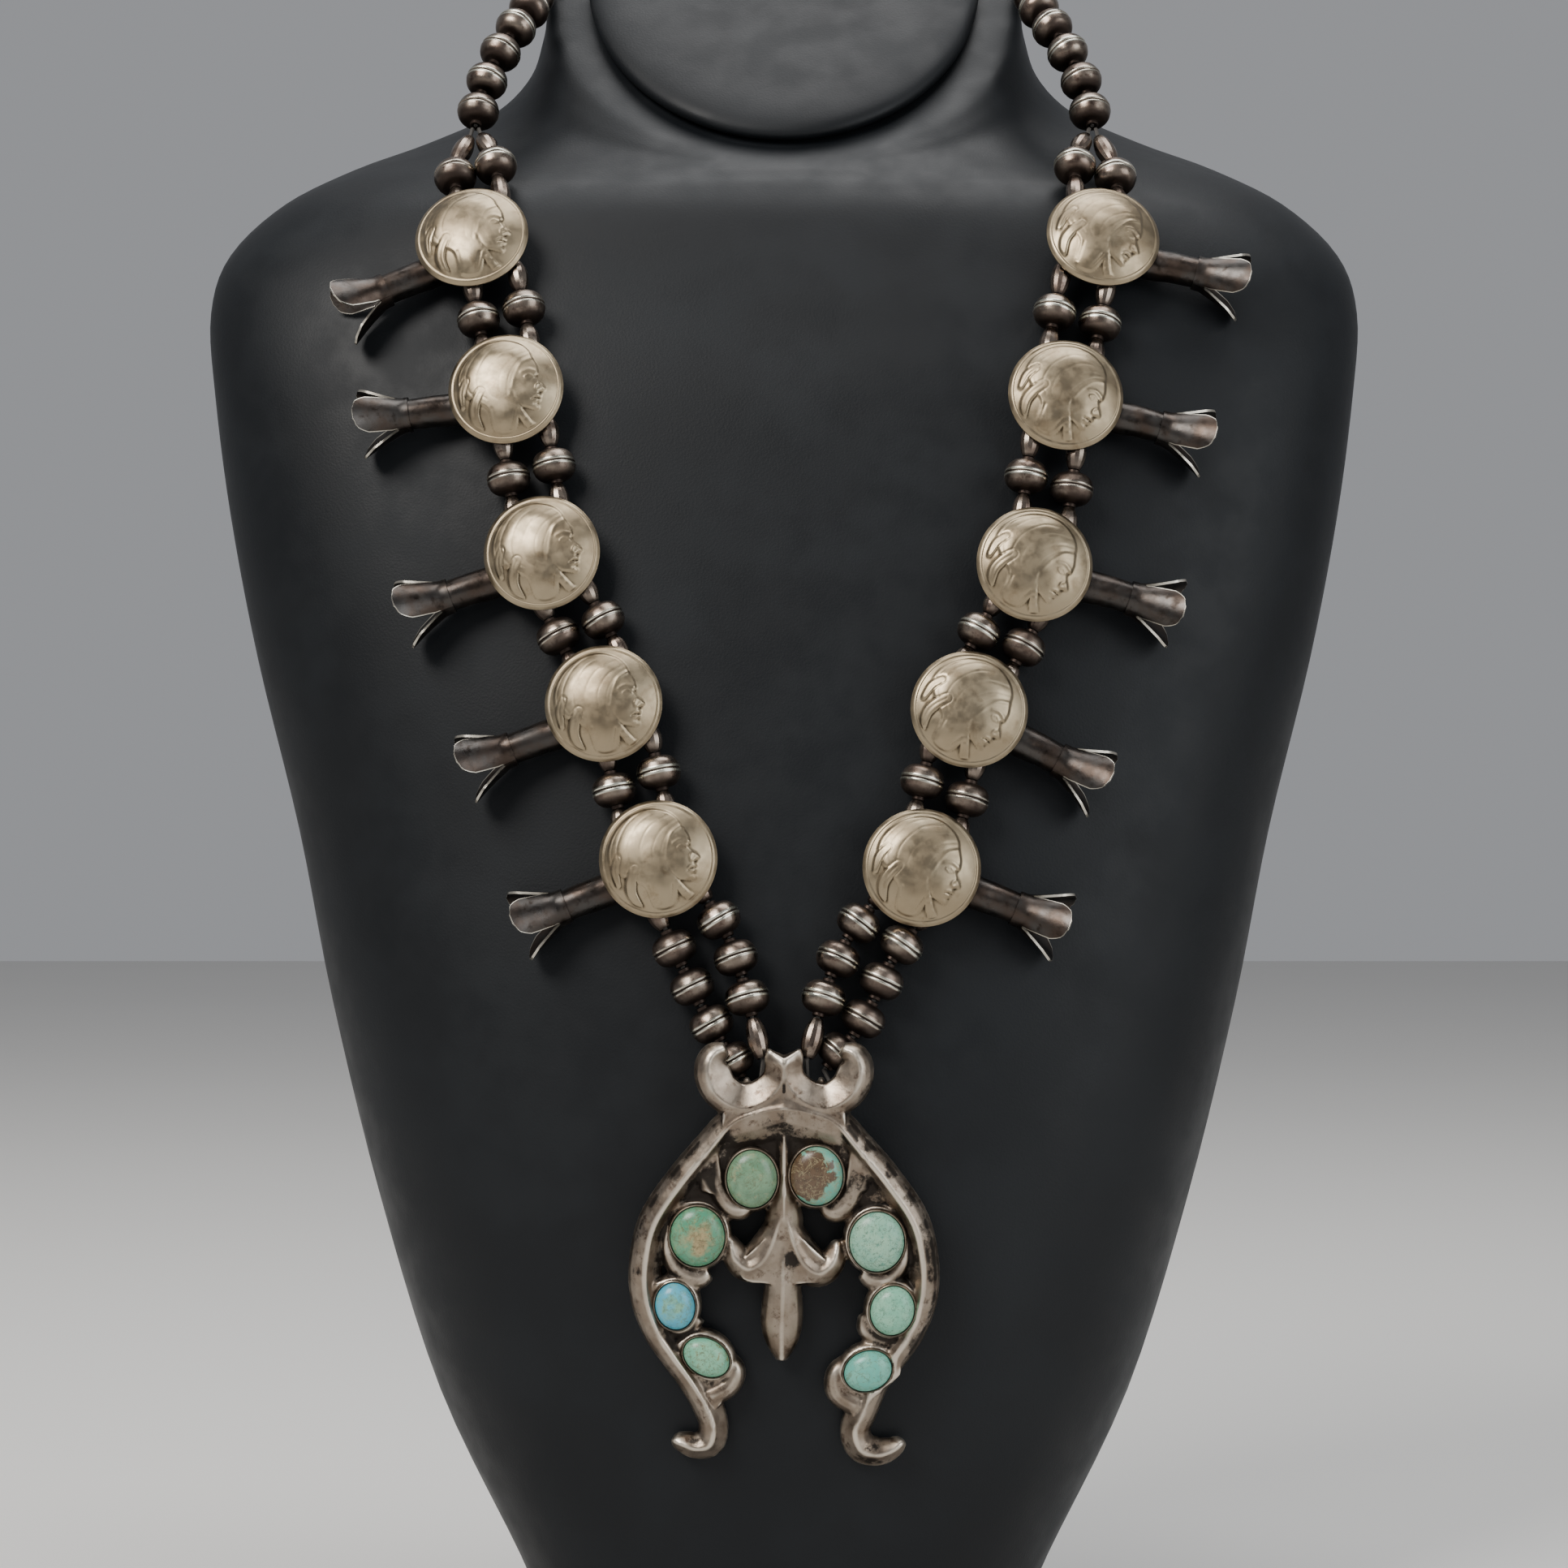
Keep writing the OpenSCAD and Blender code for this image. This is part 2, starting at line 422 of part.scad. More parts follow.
module blossom(seats, i) {
  f = seat_frame(seats, i);
  upright = atan2(-f[2][0], f[2][1]);
  color(coin_silver) multmatrix(f) coin(upright + seats[i][5]);
  color(dark_silver) multmatrix(f) cup(-side_of(seats) * seats[i][6]);
  color(dark_silver) multmatrix(stem_frame(seats, i)) trumpet(seats[i][4], cup_d / 2 + 0.3 - seats[i][6]);
}

// The naja
hole_x = 6.4;
ring_y = -8.2;
ring_z = -0.9;
naja_head = over_front(naja_top[0], naja_top[1], naja_top_lift);
naja_rise = naja_head - over_front(naja_foot[0], naja_foot[1], naja_foot_lift);
naja_frame = frame_at(naja_head, cross([1, 0, 0], naja_rise), naja_rise);
function flipped(rows, side) = [for (r = rows) [-side * r[0], r[1], r[2], r[3]]];
module cast_member(rows, step = 0.5) {
  last = len(rows) - 1;
  skinned([for (u = [0:step:last]) let (r = curve(rows, u), e = 0.1,
    d = curve(rows, min(u + e, last)) - curve(rows, max(u - e, 0)), t = unit([-d[1], d[0]]))
    [for (c = [[1, 0], [1, 0.38], [0.6, 0.82], [0, 1], [-0.6, 0.82], [-1, 0.38], [-1, 0]])
      [r[0] + t[0] * c[0] * r[2], r[1] + t[1] * c[0] * r[2], c[1] * r[3]]]]);
}
module oval(w, h, height) {
  scale([w, h, 1]) cylinder(r = 1, h = height, $fn = 24);
}
module stone_seat(s) {
  hull() {
    translate([s[0], s[1], 0]) rotate([0, 0, s[4]]) oval(s[2] + 0.85, s[3] + 0.85, plate_h);
    translate([s[5], s[6], 0]) cylinder(r = 1.8, h = plate_h, $fn = 12);
  }
  translate([s[0], s[1], 0]) rotate([0, 0, s[4]]) difference() {
    oval(s[2] + 0.15 + bezel_wall, s[3] + 0.15 + bezel_wall, bezel_h);
    translate([0, 0, plate_h]) oval(s[2] + 0.15, s[3] + 0.15, bezel_h);
  }
}
module web(rounds, side) {
  hull() for (p = rounds) translate([side * p[0], p[1], 0]) cylinder(r = p[2], h = p[3], $fn = 12);
}
module back_ring() {
  translate([0, ring_y, ring_z]) rotate([0, 90, 0]) rotate_extrude($fn = 16)
    translate([1.75, 0]) circle(r = 0.6, $fn = 8);
}
module naja() {
  color(silver) multmatrix(naja_frame) union() {
    for (side = [1, -1]) {
      cast_member(flipped(horn_rows, side));
      translate([0, side < 0 ? 0 : -0.8, 0]) cast_member(flipped(fluke_rows, side));
      translate([side * hole_x, 0, 0]) back_ring();
    }
    difference() {
      union() {
        for (rows = [drop_rows, leaf_rows]) cast_member(rows);
        for (side = [1, -1]) {
          cast_member(concat(flipped(arm_rows, side), side < 0 ? left_foot : right_foot));
          for (rounds = webs) web(rounds, side);
        }
        for (s = concat(left_stones, right_stones)) stone_seat(s);
        for (rows = concat(left_scrolls, right_scrolls)) cast_member(rows);
      }
      for (s = concat(left_stones, right_stones)) translate([s[0], s[1], plate_h]) rotate([0, 0, s[4]])
        oval(s[2] + 0.15, s[3] + 0.15, bezel_h);
    }
  }
}
module stone(s, tint) {
  foot = plate_h + 0.15;
  top = bezel_h + stone_rise;
  levels = [[0.94, foot], [1, foot + 0.3], [1, bezel_h - 0.1], [0.9, bezel_h + 0.45 * stone_rise],
    [0.66, bezel_h + 0.82 * stone_rise], [0.3, top - 0.03 * stone_rise]];
  color(tint) multmatrix(naja_frame) translate([s[0], s[1], 0]) rotate([0, 0, s[4]])
    skinned([for (l = levels)
      [for (k = [0:19]) [s[2] * l[0] * cos(18 * k), s[3] * l[0] * sin(18 * k), l[1]]]]);
}

// The clasp behind the neck
module clasp() {
  color(silver) translate(neck_path[len(neck_path) - 1]) rotate([0, 90, 0]) difference() {
    rotate_extrude($fn = 48) intersection() {
      translate([2.6 - 30, 0]) circle(r = 30, $fn = 128);
      translate([0, -clasp_len / 2]) square([clasp_len, clasp_len]);
    }
    for (side = [-1, 1]) translate([0, 0, side * clasp_len / 2])
      cylinder(d = hole_d, h = 4, center = true, $fn = 32);
  }
}

neck_bust();
neck_cap();
naja();
stone(left_stones[0], "#8fb596");  // left_stone_1
stone(left_stones[1], "#7fae8d");  // left_stone_2
stone(left_stones[2], "#4fb0cc");  // left_stone_3
stone(left_stones[3], "#7cc4a6");  // left_stone_4
stone(right_stones[0], "#8a6f55");  // right_stone_1
stone(right_stones[1], "#8cba9c");  // right_stone_2
stone(right_stones[2], "#86c2a4");  // right_stone_3
stone(right_stones[3], "#6fc0ae");  // right_stone_4
blossom(left_seats, 0);  // left_blossom_1
blossom(left_seats, 1);  // left_blossom_2
blossom(left_seats, 2);  // left_blossom_3
blossom(left_seats, 3);  // left_blossom_4
blossom(left_seats, 4);  // left_blossom_5
blossom(right_seats, 0);  // right_blossom_1
blossom(right_seats, 1);  // right_blossom_2
blossom(right_seats, 2);  // right_blossom_3
blossom(right_seats, 3);  // right_blossom_4
blossom(right_seats, 4);  // right_blossom_5
string_of(strand(-1, true));  // left_outer_beads
string_of(strand(-1, false));  // left_inner_beads
string_of(neck_items(-1));  // left_neck_beads
strand_thread(-1);  // left_strand_thread
neck_thread(-1);  // left_neck_thread
string_of(strand(1, true));  // right_outer_beads
string_of(strand(1, false));  // right_inner_beads
string_of(neck_items(1));  // right_neck_beads
strand_thread(1);  // right_strand_thread
neck_thread(1);  // right_neck_thread
clasp();
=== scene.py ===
import random
from math import atan2, cos, degrees, pi, radians, sin, sqrt

import bpy
import numpy as np
from mathutils import Matrix, Vector


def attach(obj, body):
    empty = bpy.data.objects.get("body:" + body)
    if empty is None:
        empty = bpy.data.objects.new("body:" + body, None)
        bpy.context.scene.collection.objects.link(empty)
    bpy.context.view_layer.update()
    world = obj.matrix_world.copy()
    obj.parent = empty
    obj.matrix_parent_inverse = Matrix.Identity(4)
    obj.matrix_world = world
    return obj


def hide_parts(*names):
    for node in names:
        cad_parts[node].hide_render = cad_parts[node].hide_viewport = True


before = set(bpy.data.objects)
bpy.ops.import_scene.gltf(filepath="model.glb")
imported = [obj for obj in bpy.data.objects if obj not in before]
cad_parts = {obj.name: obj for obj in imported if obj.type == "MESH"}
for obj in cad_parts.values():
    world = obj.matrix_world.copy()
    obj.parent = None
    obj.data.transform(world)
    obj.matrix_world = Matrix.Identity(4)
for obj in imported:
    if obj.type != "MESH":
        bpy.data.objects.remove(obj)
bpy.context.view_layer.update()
mm = 0.001
random.seed(7)

# helpers


def only(obj):
    bpy.ops.object.select_all(action="DESELECT")
    obj.select_set(True)
    bpy.context.view_layer.objects.active = obj


def named(name):
    obj = bpy.context.active_object
    obj.name = name
    obj.data.name = name
    return obj


def points(obj):
    co = np.empty(len(obj.data.vertices) * 3)
    obj.data.vertices.foreach_get("co", co)
    return co.reshape(-1, 3)


def setPoints(obj, co):
    obj.data.vertices.foreach_set("co", np.ascontiguousarray(co, float).ravel())
    obj.data.update()


def openEdit(obj, action="SELECT"):
    only(obj)
    bpy.ops.object.mode_set(mode="EDIT")
    bpy.ops.mesh.select_all(action=action)


def closeEdit():
    # points the normals outwards and leaves edit mode
    bpy.ops.mesh.select_all(action="SELECT")
    bpy.ops.mesh.normals_make_consistent(inside=False)
    bpy.ops.object.mode_set(mode="OBJECT")


def closeUp(obj, fill=True):
    # merges doubles and fills the open ends
    openEdit(obj)
    bpy.ops.mesh.remove_doubles(threshold=1e-6)
    if fill:
        bpy.ops.mesh.fill_holes(sides=0)
    closeEdit()


def smooth(obj, angle=35):
    only(obj)
    bpy.ops.object.shade_smooth_by_angle(angle=radians(angle))


def applied(obj, kind, **values):
    only(obj)
    mod = obj.modifiers.new(kind, kind)
    for key, value in values.items():
        setattr(mod, key, value)
    bpy.ops.object.modifier_apply(modifier=mod.name)


def sheet(name, cols, rows, place):
    # a grid whose points go where place(u, v) says, in millimetres
    bpy.ops.mesh.primitive_grid_add(x_subdivisions=cols, y_subdivisions=rows, size=2)
    obj = named(name)
    co = points(obj)
    setPoints(obj, place((co[:, 0] + 1) / 2, (co[:, 1] + 1) / 2) * mm)
    return obj


def lathe(name, profile, steps):
    # profile is a list of (radius, height) in millimetres, drawn point by point and spun round z
    bpy.ops.mesh.primitive_plane_add(size=1)
    obj = named(name)
    openEdit(obj)
    bpy.ops.mesh.merge(type="CENTER")
    bpy.ops.transform.translate(value=(profile[0][0] * mm, 0, profile[0][1] * mm))
    for (r, z), (nextR, nextZ) in zip(profile[:-1], profile[1:]):
        move = ((nextR - r) * mm, 0, (nextZ - z) * mm)
        bpy.ops.mesh.extrude_region_move(TRANSFORM_OT_translate={"value": move})
    bpy.ops.mesh.select_all(action="SELECT")
    bpy.ops.mesh.spin(steps=steps, angle=2 * pi, center=(0, 0, 0), axis=(0, 0, 1))
    bpy.ops.mesh.select_all(action="SELECT")
    bpy.ops.mesh.remove_doubles(threshold=1e-6)
    closeEdit()
    return obj


def copyAt(model, name, place):
    obj = model.copy()
    obj.data = model.data.copy()
    obj.name = name
    bpy.context.collection.objects.link(obj)
    obj.data.transform(place)
    return obj


def joined(parts, name):
    bpy.ops.object.select_all(action="DESELECT")
    for p in parts:
        p.select_set(True)
    bpy.context.view_layer.objects.active = parts[0]
    if len(parts) > 1:
        bpy.ops.object.join()
    return named(name)


def addFloat(obj, name, values):
    att = obj.data.attributes.get(name) or obj.data.attributes.new(name, "FLOAT", "POINT")
    att.data.foreach_set("value", np.full(len(obj.data.vertices), values, np.float32))


def normalsOf(obj):
    n = np.empty(len(obj.data.vertices) * 3, np.float32)
    obj.data.vertex_normals.foreach_get("vector", n)
    return n.reshape(-1, 3).astype(float)


def markWear(obj, rounds, scale):
    # how far each point stands out of its smoothed surroundings, from -1 in a crevice to 1 on an edge
    co = points(obj)
    e = np.empty(len(obj.data.edges) * 2, np.int64)
    obj.data.edges.foreach_get("vertices", e)
    e = e.reshape(-1, 2)
    a, b = np.concatenate([e[:, 0], e[:, 1]]), np.concatenate([e[:, 1], e[:, 0]])
    count = np.maximum(np.bincount(a, minlength=len(co)), 1)[:, None]
    low = co.copy()
    for _ in range(rounds):
        total = np.stack([np.bincount(a, low[b, k], len(co)) for k in range(3)], 1)
        low = 0.4 * low + 0.6 * total / count
    out = np.einsum("ij,ij->i", co - low, normalsOf(obj))
    addFloat(obj, "wear", np.clip(out / (scale * mm), -1, 1))


def finished(obj, material, node):
    if material is not None:
        obj.data.materials.clear()
        obj.data.materials.append(material)
    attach(obj, "root")
    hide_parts(node)
    return obj


# materials


class Nodes:
    def __init__(self, name):
        self.material = bpy.data.materials.new(name)
        self.material.use_nodes = True
        self.tree = self.material.node_tree
        self.shader = next(n for n in self.tree.nodes if n.type == "BSDF_PRINCIPLED")
        self.coords = self.add("ShaderNodeTexCoord").outputs["Object"]

    def add(self, kind, **values):
        node = self.tree.nodes.new(kind)
        for key, value in values.items():
            setattr(node, key, value)
        return node

    def link(self, value, socket):
        if isinstance(value, bpy.types.NodeSocket):
            self.tree.links.new(value, socket)
        elif socket.type == "RGBA":
            socket.default_value = (*value, 1)
        else:
            socket.default_value = value

    def feed(self, node, inputs):
        for key, value in inputs.items():
            self.link(value, node.inputs[key])
        return node

    def texture(self, kind, size, shift, **values):
        # size is that of the patches, in millimetres
        place = self.feed(self.add("ShaderNodeMapping"), {"Vector": self.coords, "Location": shift})
        node = self.add(kind, **values)
        return self.feed(node, {"Vector": place.outputs["Vector"], "Scale": 1 / (size * mm)})

    def noise(self, size, detail=3, rough=0.55, distortion=0, shift=(0, 0, 0)):
        node = self.texture("ShaderNodeTexNoise", size, shift)
        self.feed(node, {"Detail": detail, "Roughness": rough, "Distortion": distortion})
        return node.outputs["Fac"]

    def ranged(self, value, low, high, first=0, last=1):
        node = self.add("ShaderNodeMapRange", interpolation_type="SMOOTHSTEP")
        keys = ("Value", "From Min", "From Max", "To Min", "To Max")
        return self.feed(node, dict(zip(keys, (value, low, high, first, last)))).outputs["Result"]

    def math(self, kind, a, b=0):
        return self.feed(self.add("ShaderNodeMath", operation=kind), {0: a, 1: b}).outputs[0]

    def mix(self, share, a, b):
        node = self.add("ShaderNodeMix", data_type="RGBA")
        return self.feed(node, {"Factor": share, 6: a, 7: b}).outputs[2]

    def uneven(self, amount, *noise):
        # a noise that swings by half of amount to both sides of nought
        return self.math("MULTIPLY", self.math("SUBTRACT", self.noise(*noise), 0.5), amount)

    def attribute(self, name):
        return self.add("ShaderNodeAttribute", attribute_name=name).outputs["Fac"]

    def bump(self, height, distance, strength):
        node = self.add("ShaderNodeBump")
        self.feed(node, {"Height": height, "Distance": distance * mm, "Strength": strength})
        return node.outputs["Normal"]

    def finish(self, color, rough, metallic=0, normal=None, specular=0.5):
        values = {"Base Color": color, "Roughness": rough, "Metallic": metallic,
                  "Specular IOR Level": specular}
        if normal is not None:
            values["Normal"] = normal
        self.feed(self.shader, values)
        return self.material


leatherLook = {"black": (0.0037, 0.0046, 0.0058), "worn": (0.0058, 0.0071, 0.0086), "grain": 0.38,
               "depth": 0.035}


def leather():
    n = Nodes("leather")
    grain = n.texture("ShaderNodeTexVoronoi", leatherLook["grain"], (0, 0, 0), feature="SMOOTH_F1")
    fine = n.noise(0.25, 2)
    height = n.math("ADD", grain.outputs["Distance"], n.math("MULTIPLY", fine, 0.5))
    color = n.mix(n.ranged(n.noise(18, 3), 0.35, 0.75), leatherLook["black"], leatherLook["worn"])
    rough = n.ranged(n.noise(9, 3), 0.3, 0.7, 0.46, 0.56)
    return n.finish(color, rough, 0, n.bump(height, leatherLook["depth"], 0.5), 0.2)


def silver(name, bright, warm, dark, black, rough, cavity=(-0.25, -0.02), patch=6, pits=0.02, under=None,
           edge=None, stains=False):
    n = Nodes(name)
    tone = n.mix(n.ranged(n.noise(patch, 4), 0.35, 0.68), bright, warm)
    tone = n.mix(n.ranged(n.noise(patch * 0.45, 5, 0.65, 0.3, (3, 1, 2)), 0.52, 0.72), tone, dark)
    wear = n.attribute("wear")
    rub = n.math("ADD", wear, n.uneven(0.35, 1.6, 4, 0.6))
    patinaAndShade = n.ranged(rub, cavity[0], cavity[1], 1, 0)
    # painted shade: when under is given, surfaces facing downwards by the "under" attribute are blackened
    # too; under holds where that starts, where it is full and how dark
    if under is not None:
        low = n.math("ADD", n.attribute("under"), n.uneven(0.5, 4, 4))
        patinaAndShade = n.math("MAXIMUM", patinaAndShade, n.ranged(low, under[0], under[1], 0, under[2]))
    if stains:
        # black tarnish left in ragged patches where the attribute says
        ragged = n.math("ADD", n.attribute("tarnish"), n.uneven(1.5, 2.4, 6, 0.7))
        patinaAndShade = n.math("MAXIMUM", patinaAndShade, n.ranged(ragged, 0.46, 0.74, 0, 0.93))
        tone = n.mix(n.ranged(n.noise(1.1, 6, 0.75, 0.2, (9, 4, 4)), 0.6, 0.72, 0, 0.75), tone, dark)
    # standing edges take the edge colour: rubbed silver, and partly a painted highlight
    if edge is not None:
        tone = n.mix(n.ranged(wear, 0.3, 0.8), tone, edge)
        patinaAndShade = n.math("MULTIPLY", patinaAndShade, n.ranged(wear, 0.1, 0.5, 1, 0))
    # the black goes into hollows as patina and, with under given, onto undersides as painted shade
    tone = n.mix(patinaAndShade, tone, black)
    scuff = n.noise(0.7, 5, 0.7)
    roughness = n.math("ADD", n.ranged(n.noise(2.2, 4), 0.3, 0.7, rough - 0.07, rough + 0.09),
                       n.math("MULTIPLY", patinaAndShade, 0.22))
    return n.finish(tone, roughness, 1, n.bump(scuff, pits, 0.8))


def stone(name, colors, vein, veinSize, shift, blotch=None):
    # colors are the ground, its clouds and its spots; blotch is a colour, its middle, reach and softness
    n = Nodes(name)
    tone = n.mix(n.ranged(n.noise(2.6, 4, 0.6, 0.6, shift), 0.36, 0.66), colors[0], colors[1])
    tone = n.mix(n.ranged(n.noise(1.1, 5, 0.7, 0.4, shift[::-1]), 0.54, 0.68), tone, colors[2])
    if blotch is not None:
        away = n.add("ShaderNodeVectorMath", operation="DISTANCE")
        n.link(n.coords, away.inputs[0])
        away.inputs[1].default_value = blotch[1]
        ragged = n.math("ADD", away.outputs["Value"], n.uneven(0.0065, 2.4, 5, 0.6, 0.5, shift))
        deeper = [c * 0.55 for c in blotch[0]]
        inner = n.mix(n.ranged(n.noise(0.9, 5, 0.7, 0.3, shift), 0.4, 0.7), blotch[0], deeper)
        tone = n.mix(n.ranged(ragged, blotch[2] * 0.86, blotch[2] * blotch[3], 1, 0), tone, inner)
    # fine veins along the middle of a noise, and specks
    web = n.math("ABSOLUTE", n.math("SUBTRACT", n.noise(veinSize, 6, 0.62, 0.8, shift), 0.5))
    broken = n.ranged(n.noise(2.2, 3, 0.5, 0, shift), 0.34, 0.5)
    crack = n.math("MULTIPLY", n.ranged(web, 0, 0.022, 0.75, 0), broken)
    speck = n.ranged(n.noise(0.45, 3, 0.6, 0, shift), 0.58, 0.7, 0, 0.65)
    tone = n.mix(n.math("MAXIMUM", crack, speck), tone, vein)
    normal = n.bump(n.noise(0.5, 3), 0.012, 0.5)
    return n.finish(tone, n.ranged(n.noise(3, 3), 0.3, 0.7, 0.24, 0.38), 0, normal, 0.42)


def plainMaterial(name, color, rough, metallic=0):
    n = Nodes(name)
    tone = n.mix(n.noise(1.5, 3), color, [c * 0.8 for c in color])
    return n.finish(tone, rough, metallic)


# the frame of the necklace, in millimetres

# levels of the bust from the foot up: front y and z, back y and z, half width, squareness of the section
bustRows = np.array([
    [-36, 0, 36, 0, 37, 2.6], [-42, 6, 40, 6, 43, 2.6], [-47, 20, 43, 20, 49, 2.6],
    [-50.5, 50, 46, 50, 63.5, 2.6], [-51.5, 85, 48, 85, 74.5, 2.6], [-49.5, 120, 50, 122, 83.5, 2.6],
    [-45.5, 150, 52, 155, 90, 2.6], [-41, 177, 54, 193, 98, 2.7], [-36, 203, 56, 221, 103.5, 2.8],
    [-30, 228, 58, 242, 107, 2.9], [-24, 244, 60, 257, 108.3, 3], [-19.5, 255, 61, 269, 105, 3],
    [-15, 265, 62, 279, 95, 2.9], [-11.5, 270, 62, 286.5, 83, 2.7], [-9, 272.5, 62, 293, 70, 2.5],
    [-7.5, 274, 62.5, 302, 57, 2.3], [-6.2, 275, 63.5, 315, 49.5, 2.15], [-5, 275.8, 65, 332, 46.5, 2.1],
    [-3, 277, 66, 347, 45, 2], [1, 279.3, 63.5, 350.5, 38.3, 2]])
topRow = len(bustRows) - 1

strand = {"height": 4.3, "offset": 4.2, "gap": 0.15, "curveGap": 0.42, "splitGap": 3,
          "beadBody": 5.8, "collar": 0.55, "olive": 7, "clasp": 12}
beadLen = strand["beadBody"] + 2 * strand["collar"]
coinSize = {"d": 20.7, "dome": 3.4, "thick": 1.1, "lift": 2.3, "cup": 13}
coinEdge = coinSize["d"] / 2
domeRadius = (coinEdge ** 2 + coinSize["dome"] ** 2) / (2 * coinSize["dome"])
domeMiddle = coinSize["lift"] + coinSize["dome"] - domeRadius
cupReach = sqrt((coinSize["cup"] / 2) ** 2 - (strand["offset"] - 1.1) ** 2) + 0.35

# x, z, stem angle, stem drop, turn of the petals, turn of the coin, shift of the cup
seats = {
    -1: [[-55.8, 256.6, 29, 1, 4, 6, 2.4], [-48.9, 229, 8, 1, -6, 4, 1.6], [-42.1, 200, 19, 1.2, 6, 10, 1],
         [-31.1, 173.5, 21, 1.2, 8, 7, 1.8], [-21.5, 146.5, 22, 1.2, 4, 11, 0]],
    1: [[57, 256.7, 15, 1, 16, -30, 1.6], [49.5, 228, 16, 0, 4, -31, 0.3], [43.5, 198, 17, 0, 10, -34, 0],
        [31.9, 172.5, 28, 0, -4, -38, 0], [23.5, 145, 22, 0, 2, -20, 0]]}
# x, z and height over the bust of the points that the strands' low ends run through, by side and outer or
# not, and the lengths of the olives that they begin with
lowRuns = {
    (-1, True): [[-19, 132.2, 4.1], [-16.2, 125.2, 4], [-12.4, 118.4, 3.9], [-8.6, 111.6, 3.9]],
    (-1, False): [[-10.6, 136, 4.1], [-7.9, 129.3, 4.4], [-6.3, 122.8, 5.2], [-3.7, 112.8, 6.5]],
    (1, True): [[19.9, 132.4, 4.1], [16.8, 126.2, 4], [13.8, 118.6, 3.9], [8.9, 113, 3.9]],
    (1, False): [[12.6, 136.2, 4.1], [9, 129.6, 4.4], [6.6, 122.6, 5.2], [4, 112.6, 6.6]]}
lowOlives = {-1: (5.2, 3.7), 1: (3.8, 3.2)}
# the right strand's way round the neck, and the knees of its outer and inner strand
neckPath = np.array([
    [57.3, -1.8, 282.2], [57.2, 0.5, 286], [55.6, 4.2, 292.5], [53, 7.6, 298.8], [50.3, 12.2, 304.2],
    [47.8, 17.5, 308.8], [47.8, 24.5, 312.3], [49.2, 34.3, 316.6], [47.2, 45, 320.6], [40.4, 55, 324.3],
    [30, 63.2, 327], [17, 68.6, 328.7], [7.5, 70.1, 329], [0, 70.2, 329]])
splitKnees = [[60.7, -8.5, 274.6], [53.5, -8.2, 276.6]]


def vec(*v):
    return np.array(v, float)


def unit(v):
    return v / np.linalg.norm(v)


def curve(p, u):
    n = len(p) - 1
    i = min(int(u), n - 1)
    t = u - i
    a, b, c, d = p[max(i - 1, 0)], p[i], p[i + 1], p[min(i + 2, n)]
    square, cube = 2 * a - 5 * b + 4 * c - d, 3 * b - a - 3 * c + d
    return 0.5 * (2 * b + (c - a) * t + square * t * t + cube * t ** 3)


def frameAt(p, out, up):
    z = unit(out)
    y = unit(up - np.dot(up, z) * z)
    m = np.eye(4)
    m[:3, 0], m[:3, 1], m[:3, 2], m[:3, 3] = np.cross(y, z), y, z, p
    return m


def placed(m, p):
    return (m @ np.array([*p, 1]))[:3]


def blenderMatrix(m):
    # the same frame in metres, for a mesh already in metres
    out = m.copy()
    out[:3, 3] *= mm
    return Matrix(out.tolist())


def frontAt(u, x):
    row = curve(bustRows, u)
    part = min(abs(x) / row[4], 1)
    y = -((1 - part ** row[5]) ** (1 / row[5]))
    middle, half = (row[:2] + row[2:4]) / 2, (row[2:4] - row[:2]) / 2
    return vec(x, *(middle + y * half))


def frontPoint(x, z):
    low, high = 0, topRow
    for _ in range(26):
        middle = (low + high) / 2
        if frontAt(middle, x)[2] < z:
            low = middle
        else:
            high = middle
    return frontAt((low + high) / 2, x)


def frontNormal(x, z, e=0.5):
    return unit(vec((frontPoint(x + e, z)[1] - frontPoint(x - e, z)[1]) / (2 * e), -1,
                    (frontPoint(x, z + e)[1] - frontPoint(x, z - e)[1]) / (2 * e)))


def overFront(x, z, h):
    return frontPoint(x, z) + h * frontNormal(x, z)


def seatPoint(side, i):
    return overFront(seats[side][i][0], seats[side][i][1], strand["height"])


def seatFrame(side, i):
    if i < 4:
        below = seatPoint(side, i + 1)
    else:
        p = (vec(*lowRuns[side, True][0]) + vec(*lowRuns[side, False][0])) / 2
        below = overFront(*p)
    upwards = seatPoint(side, max(i - 1, 0)) - below
    return frameAt(seatPoint(side, i), frontNormal(*seats[side][i][:2]), upwards)


def cupEnd(side, i, outer, up):
    x = side * ((1 if outer else -1) * strand["offset"] - seats[side][i][6])
    return placed(seatFrame(side, i), (x, (1 if up else -1) * cupReach, 0))


def pathLength(p):
    return sum(np.linalg.norm(p[i + 1] - p[i]) for i in range(len(p) - 1))


def along(p, s):
    for i in range(len(p) - 1):
        d = np.linalg.norm(p[i + 1] - p[i])
        if s <= d or i == len(p) - 2:
            return p[i] + unit(p[i + 1] - p[i]) * s
        s -= d


def laid(path, items, s, gap):
    out = []
    for length, isBead in items:
        out.append((length, isBead, along(path, s), along(path, s + length)))
        s += length + gap
    return out


